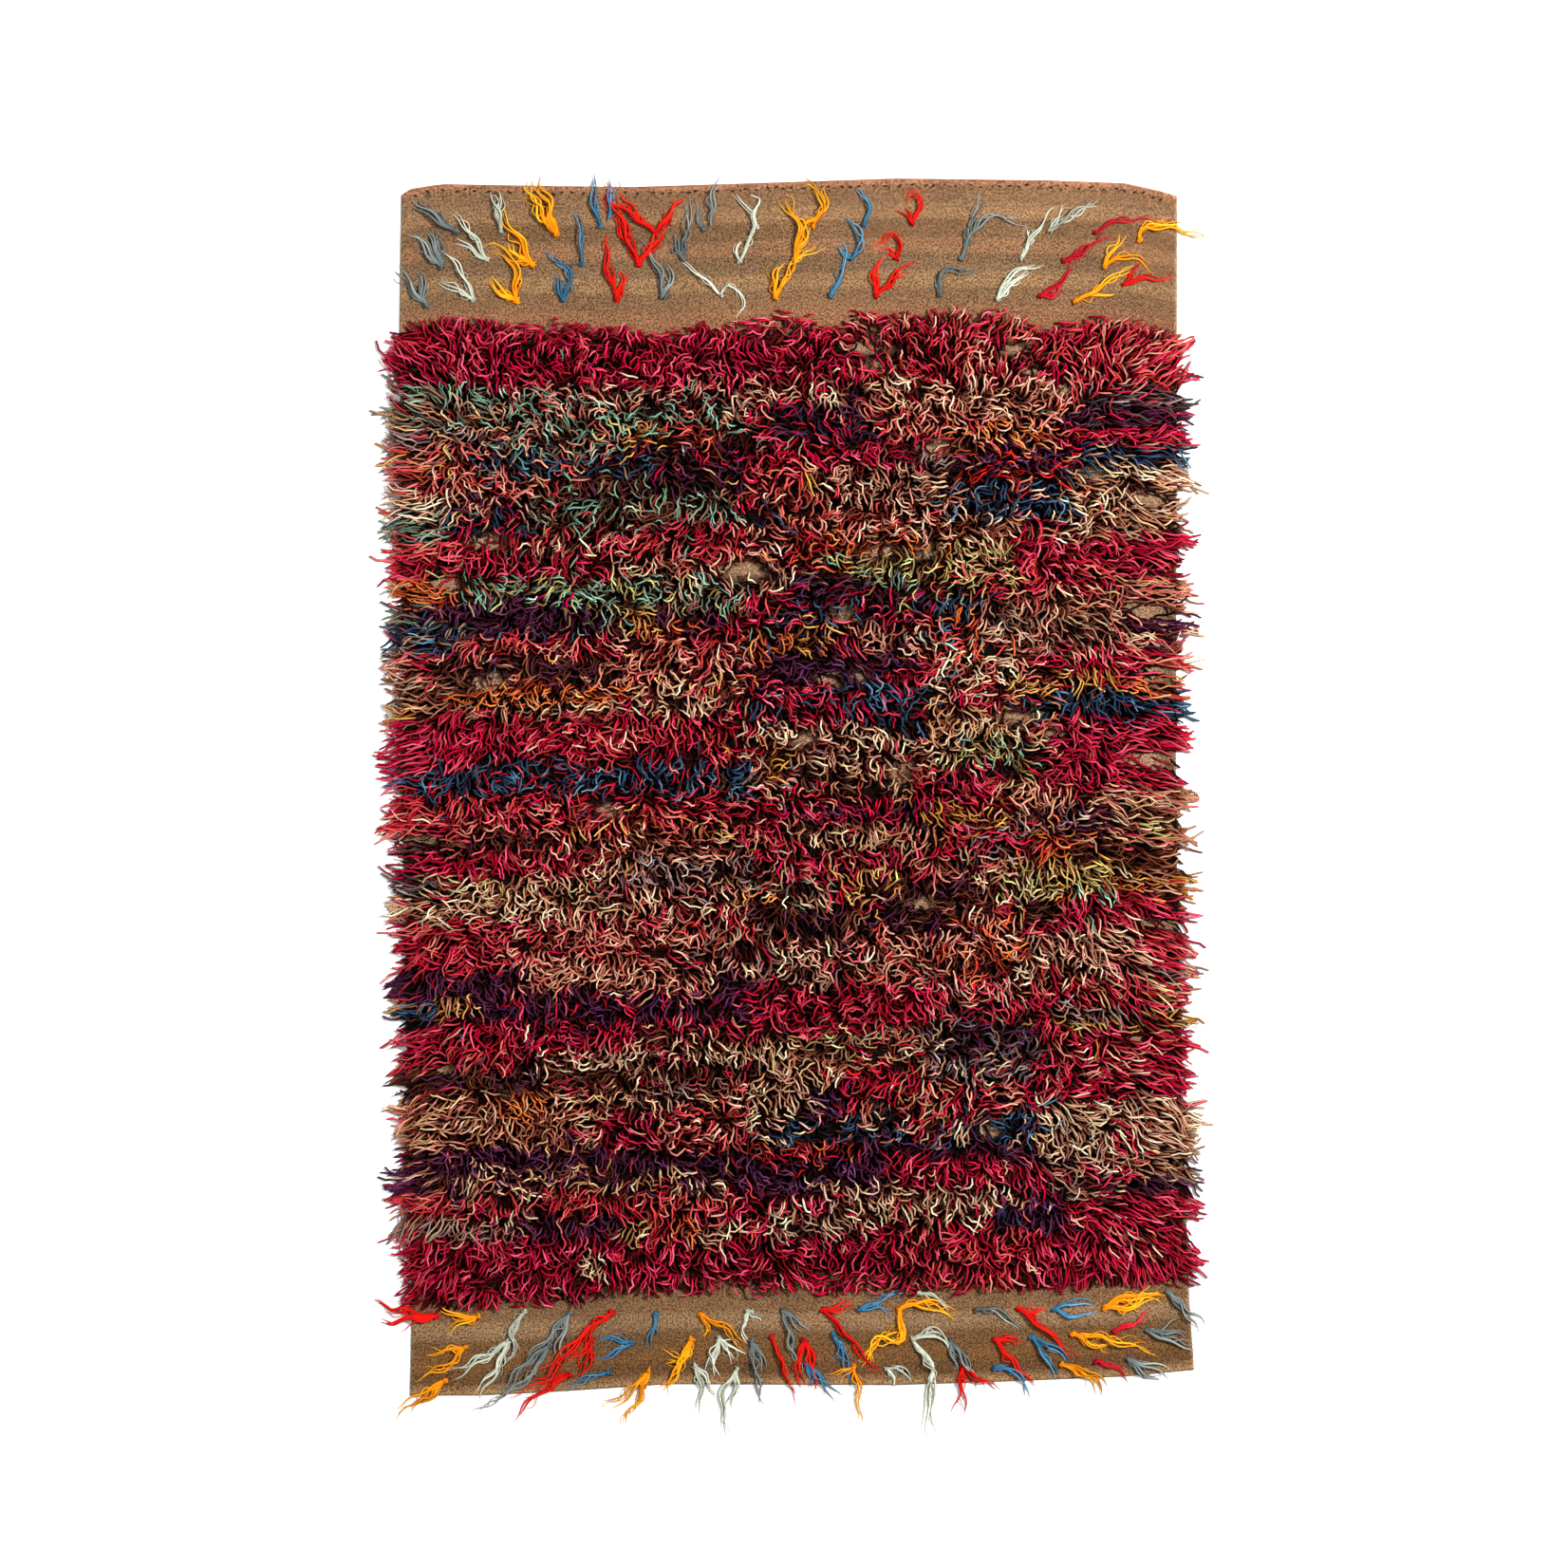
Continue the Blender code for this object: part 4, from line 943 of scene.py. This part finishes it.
def make_shag(rng):
    """Knots of cut yarn: the strands of one rise side by side and curl over their neighbours."""
    knots = lay_knots(rng)
    of = np.repeat(np.arange(knots.count), STRANDS_A_KNOT)
    total = len(of)
    settled = knots.settled[of]

    # The strands of a knot start side by side across its heading.
    aside = np.tile(np.arange(STRANDS_A_KNOT) - (STRANDS_A_KNOT - 1) / 2, knots.count)
    aside = (aside + rng.normal(0, 0.16, total)) * STRAND_APART_PX * (1 + 0.25 * settled)
    back = rng.normal(0, 2.0, total)
    root_x = knots.x[of] - aside * np.sin(knots.angle[of]) + back * np.cos(knots.angle[of])
    root_y = knots.y[of] + aside * np.cos(knots.angle[of]) + back * np.sin(knots.angle[of])
    fan = np.where(knots.near < 20, -0.02, 0.012)[of]
    own = 0.4 + 0.6 * (1 - settled)
    angle = knots.angle[of] + aside * fan + rng.normal(0, 0.22, total) * own
    curl = knots.curl[of] + rng.normal(0, 0.8, total) * own
    begin = knots.begin[of] + rng.normal(0, 1.0, total)
    length = knots.length[of] * rng.normal(1, 0.13, total).clip(0.6, 1.4)
    level = (knots.level[of] + rng.normal(0, 0.09, total)).clip(0.08, 1.05)
    kink = rng.normal(0, 0.22, (total, SEGMENTS)) * own[:, None]
    drop = rng.uniform(0.1, 0.6, total)

    # A strand advances less where it stands up out of its knot, and where it nears a flat end.
    advance = np.array([0.65, 0.95, 1.0, 1.0, 1.0]) / SEGMENTS
    top_limit, bottom_limit = field_ends(root_x)
    top_limit = top_limit + along(TOP_REACH, root_x) + 7 * unevenness(root_x, root_y, 9, 54)
    bottom_limit = bottom_limit + along(BOTTOM_REACH, root_x) + 6 * unevenness(root_x, root_y, 11, 55)
    x, y = np.empty((2, total, SEGMENTS + 1))
    x[:, 0], y[:, 0] = root_x, root_y
    for step in range(SEGMENTS):
        wave = knots.crimp[of] * np.sin(begin + knots.beat[of] * step) + kink[:, step]
        bent = angle + curl * (step / SEGMENTS - 0.2) + wave
        room = np.where(np.sin(bent) < 0, y[:, step] - top_limit, bottom_limit - y[:, step])
        x[:, step + 1] = x[:, step] + length * advance[step] * np.cos(bent)
        y[:, step + 1] = y[:, step] + length * advance[step] * np.sin(bent) * np.clip(room / 12, 0.12, 1)

    share = np.linspace(0, 1, SEGMENTS + 1)
    rise = np.sin(np.minimum(share / 0.42, 1) * math.pi / 2)
    fall = np.clip((share - 0.42) / 0.58, 0, 1) ** 2
    to_rim = inside(x, y)
    low = np.where(to_rim > 0, CLOTH_THICK - 0.8 * MM, YARN_RADIUS + 0.2 * MM)
    z = low + np.maximum(envelope(x, y) - low, 0) * level[:, None] * rise * (1 - drop[:, None] * fall)
    z = np.maximum(z + 0.5 * MM * rng.normal(0, 1, z.shape) * rise, low)

    bare = np.max([bareness(x[:, step], y[:, step]) for step in (1, 3, 5)], axis=0)
    kept = (rng.uniform(0, 1, total) > 0.9 * bare) & (knots.room > 6)[of]
    # How far past the rim and the last rows each point is, where strands are painted bright.
    over_end = np.maximum(top_limit[:, None] + 12 - y, y - bottom_limit[:, None] + 10)
    past_rim = np.maximum(-to_rim / 8, over_end / 10)
    # Painted shade towards the sides, fading out past the rim.
    side_shade = 0.38 * np.exp(-np.maximum(knots.to_right, 0) / 70)
    side_shade = side_shade + 0.22 * np.exp(-np.maximum(knots.to_left, 0) / 60)
    side_shade = side_shade[of][:, None] * np.clip(1 + to_rim / 10, 0, 1)
    tint = strand_tints(x, y, level, settled, begin, past_rim, side_shade, rng)

    radii = YARN_RADIUS * rng.normal(1, 0.1, total).clip(0.8, 1.25)[:, None]
    radii = radii * np.interp(share, *WIDTH_ALONG)
    points = metres(x, y, z)
    yarn = yarn_material("pile_yarn_wool", twists=190.0, fleck=0.5, roughness=0.85, outline=0.95)
    made = []
    for piece in range(PIECES_OF_SHAG):
        part = kept & (of * PIECES_OF_SHAG // knots.count == piece)
        made.append(strands(f"shag_rows_{piece + 1}", points[part], radii[part], tint[part], yarn))
    return made


def smooth_path(points, count):
    """Points spread evenly along a smooth curve through the given ones, and the curve's length."""
    before, after = 2 * points[0] - points[1], 2 * points[-1] - points[-2]
    padded = np.concatenate([[before], points, [after]])
    t = np.linspace(0, 1, 12, endpoint=False)[:, None]
    made = []
    for i in range(len(points) - 1):
        p0, p1, p2, p3 = padded[i : i + 4]
        bend = (2 * p0 - 5 * p1 + 4 * p2 - p3) * t**2
        made.append(0.5 * (2 * p1 + (p2 - p0) * t + bend + (3 * p1 - p0 - 3 * p2 + p3) * t**3))
    made = np.concatenate([*made, points[-1:]])
    far = np.concatenate([[0], np.cumsum(np.linalg.norm(np.diff(made, axis=0), axis=1))])
    at = np.linspace(0, far[-1], count)
    return np.stack([np.interp(at, far, made[:, 0]), np.interp(at, far, made[:, 1])], axis=-1), far[-1]


def tuft_wisps(wool, half, lock, rng):
    """One lock: a few thick tapered ropes of wool, thinner wisps beside them and stray hairs."""
    line, reach = smooth_path(lock, WISP_POINTS)
    way = np.gradient(line, axis=0)
    way /= np.linalg.norm(way, axis=1, keepdims=True) + 1e-9
    across = np.stack([-way[:, 1], way[:, 0]], axis=-1)
    t = np.linspace(0, 1, WISP_POINTS)

    # Kind 0 is a rope, kind 1 a thinner wisp and kind 2 a stray hair.
    ropes = 2 if half < 6 else 3
    kind = np.repeat([0, 1, 2], [ropes, 1 if half < 5 else 2, 2])
    total = len(kind)

    # Sideways: together at the knot, apart over the middle, then each its own way.
    place = rng.uniform(-1.0, 1.0, total)
    place[:ropes] = np.linspace(-0.4, 0.4, ropes)
    later = place + rng.normal(0, 0.65, total)
    blend = np.clip((t - 0.35) / 0.65, 0, 1)[None]
    shift = half * np.interp(t, *WISP_SPREAD) * (place[:, None] * (1 - blend) + later[:, None] * blend)
    beats = rng.uniform(7, 12, total) * max(reach / 45, 0.6)
    begin = rng.uniform(0, 6, total)
    beats[:ropes] = 0.75 * beats[0] * rng.uniform(0.92, 1.08, ropes)
    begin[:ropes] = begin[0] + rng.normal(0, 0.5, ropes)
    swing = np.choose(kind, [1.1, 1.4, 2.4]) + np.choose(kind, [0.22, 0.3, 0.34]) * half
    swing = swing * rng.uniform(0.7, 1.3, total)
    wave = swing[:, None] * np.sin(beats[:, None] * t + begin[:, None])
    shift = shift + wave * np.clip(t * 3, 0, 1)

    # Each wisp runs over its own share of the lock's line.
    long = np.choose(kind, [rng.uniform(least, most, total) for least, most in WISP_LENGTHS])
    at = t[None] * long[:, None] * (WISP_POINTS - 1)
    low = np.clip(at.astype(int), 0, WISP_POINTS - 2)
    part = (at - low)[..., None]
    base = line[low] * (1 - part) + line[low + 1] * part
    side = across[low] * (1 - part) + across[low + 1] * part
    xy = base + side * shift[..., None]

    rope = 1.4 + 0.24 * half
    thick = np.choose(kind, [rope, 0.55 * rope, 0.3]) * rng.uniform(0.8, 1.15, total) * MM
    radii = thick[:, None] * np.interp(t, *WISP_TAPER)
    arch = np.sin(np.clip(t / 0.9, 0, 1) * math.pi) * rng.uniform(0.2, 1.0, total)[:, None]
    rise = min(0.09 * reach * PX, 8 * MM)
    over = inside(xy[..., 0], xy[..., 1]) > 0
    floor = np.where(over, CLOTH_THICK, 0.2 * MM) + 0.5 * radii
    z = floor + arch * rise + 0.4 * MM * rng.uniform(0, 1, total)[:, None]
    deep, pale = linear(WOOLS[wool])
    fade = (np.clip(t * 1.2 - 0.1, 0, 1)[None] * rng.uniform(0.2, 1.0, total)[:, None])[..., None]
    tint = (deep * (1 - fade) + pale * fade) * rng.normal(1.0, 0.22, (total, 1, 1)).clip(0.45, 1.5)
    return xy, z, radii, tint.clip(0.002, 0.92)


def knot_loops(wool, half, knot, rng):
    """Fat loops where the wool passes under the warps."""
    t, single = np.linspace(0, 1, WISP_POINTS), (LOOPS_A_KNOT, 1)
    spin = rng.uniform(0, math.pi, single)
    size = (2.0 + 0.34 * half) * rng.uniform(0.7, 1.1, single)
    swing = (t - 0.5)[None] * 2 * size
    bow = (1 - 4 * (t - 0.5) ** 2)[None] * rng.normal(0, 1.2, single)
    x = knot[0] + np.cos(spin) * swing - np.sin(spin) * bow + rng.normal(0, 0.5, single)
    y = knot[1] + np.sin(spin) * swing + np.cos(spin) * bow + rng.normal(0, 0.5, single)
    z = CLOTH_THICK + 0.6 * MM + 4.0 * MM * np.sin(t * math.pi)[None] * rng.uniform(0.6, 1.0, single)
    radii = np.broadcast_to((1.6 + 0.16 * half) * MM * np.sin(0.35 + t * 2.44), x.shape)
    tint = linear(WOOLS[wool][0]) * rng.normal(0.85, 0.15, (LOOPS_A_KNOT, 1, 1)).clip(0.5, 1.2)
    return np.stack([x, y], axis=-1), z, radii, np.broadcast_to(tint, (*x.shape, 3))


def read_tuft(text):
    """A tuft's wool, its half width, and the points of its locks."""
    (wool, half), *locks = (part.split() for part in text.split("|"))
    return wool, float(half), [np.array(lock, float).reshape(-1, 2) for lock in locks]


def make_tufts(rng):
    """The six rows of tufts, each one piece of loops and wisps."""
    material = wool_material()
    made = []
    for name, tufts in TUFTS.items():
        parts = []
        for wool, half, locks in map(read_tuft, tufts.strip().splitlines()):
            parts.append(knot_loops(wool, half, locks[0][0], rng))
            parts += [tuft_wisps(wool, half, lock, rng) for lock in locks]
        xy, z, radii, tint = (np.concatenate(found) for found in zip(*parts))
        piece = strands(name + "_wool", metres(xy[..., 0], xy[..., 1], z), radii, tint, material)
        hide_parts(name)
        made.append(piece)
    return made


def make_floor():
    """Studio floor, just under the rug's underside."""
    mesh = bpy.data.meshes.new("floor")
    mesh.from_pydata([(-15, -15, 0), (15, -15, 0), (15, 15, 0), (-15, 15, 0)], [], [(0, 1, 2, 3)])
    mesh.materials.append(floor_material())
    floor = bpy.data.objects.new("floor", mesh)
    floor.location.z = -0.2 * MM
    bpy.context.scene.collection.objects.link(floor)


def area_light(name, place, size, power, colour=(1.0, 1.0, 1.0)):
    """A round lamp that faces the middle of the rug."""
    data = bpy.data.lights.new(name, "AREA")
    data.shape = "DISK"
    data.size = size
    data.energy = power
    data.color = colour
    light = bpy.data.objects.new(name, data)
    light.location = place
    x, y, z = place
    light.rotation_euler = (math.atan2(math.hypot(x, y), z), 0.0, math.atan2(-y, -x) - math.pi / 2)
    bpy.context.scene.collection.objects.link(light)


def make_studio():
    """Camera straight above with a long lens, a key light on the right and an even pale sky."""
    scene = bpy.context.scene
    data = bpy.data.cameras.new("camera")
    data.sensor_width = 36.0
    data.lens = 100.0
    data.clip_end = 100.0
    camera = bpy.data.objects.new("camera", data)
    middle = metres(PHOTO / 2, PHOTO / 2, 0.0)
    camera.location = (middle[0], middle[1], PHOTO * PX * data.lens / data.sensor_width)
    scene.collection.objects.link(camera)
    scene.camera = camera
    area_light("key", place=(4.16, 2.08, 5.12), size=1.28, power=845.0, colour=(1.0, 0.985, 0.96))
    area_light("fill", place=(-2.8, 0.6, 3.6), size=2.6, power=60.0)
    world = bpy.data.worlds.new("studio")
    world.use_nodes = True
    sky = world.node_tree.nodes["Background"]
    sky.inputs[0].default_value = (1.0, 1.0, 1.0, 1.0)
    sky.inputs[1].default_value = SKY_LIGHT
    scene.world = world
    scene.view_settings.view_transform = "Standard"
    scene.view_settings.look = "None"


def main():
    """The whole set, with random draws in one fixed order."""
    rng = np.random.default_rng(7)
    make_studio()
    make_floor()
    cloth = make_cloth()
    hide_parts("ground")
    stitches = make_stitches(rng)
    shag = make_shag(rng)
    for piece in shag:
        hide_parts("pile")
    for piece in (cloth, stitches, *shag, *make_tufts(rng)):
        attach(piece, "root")


main()
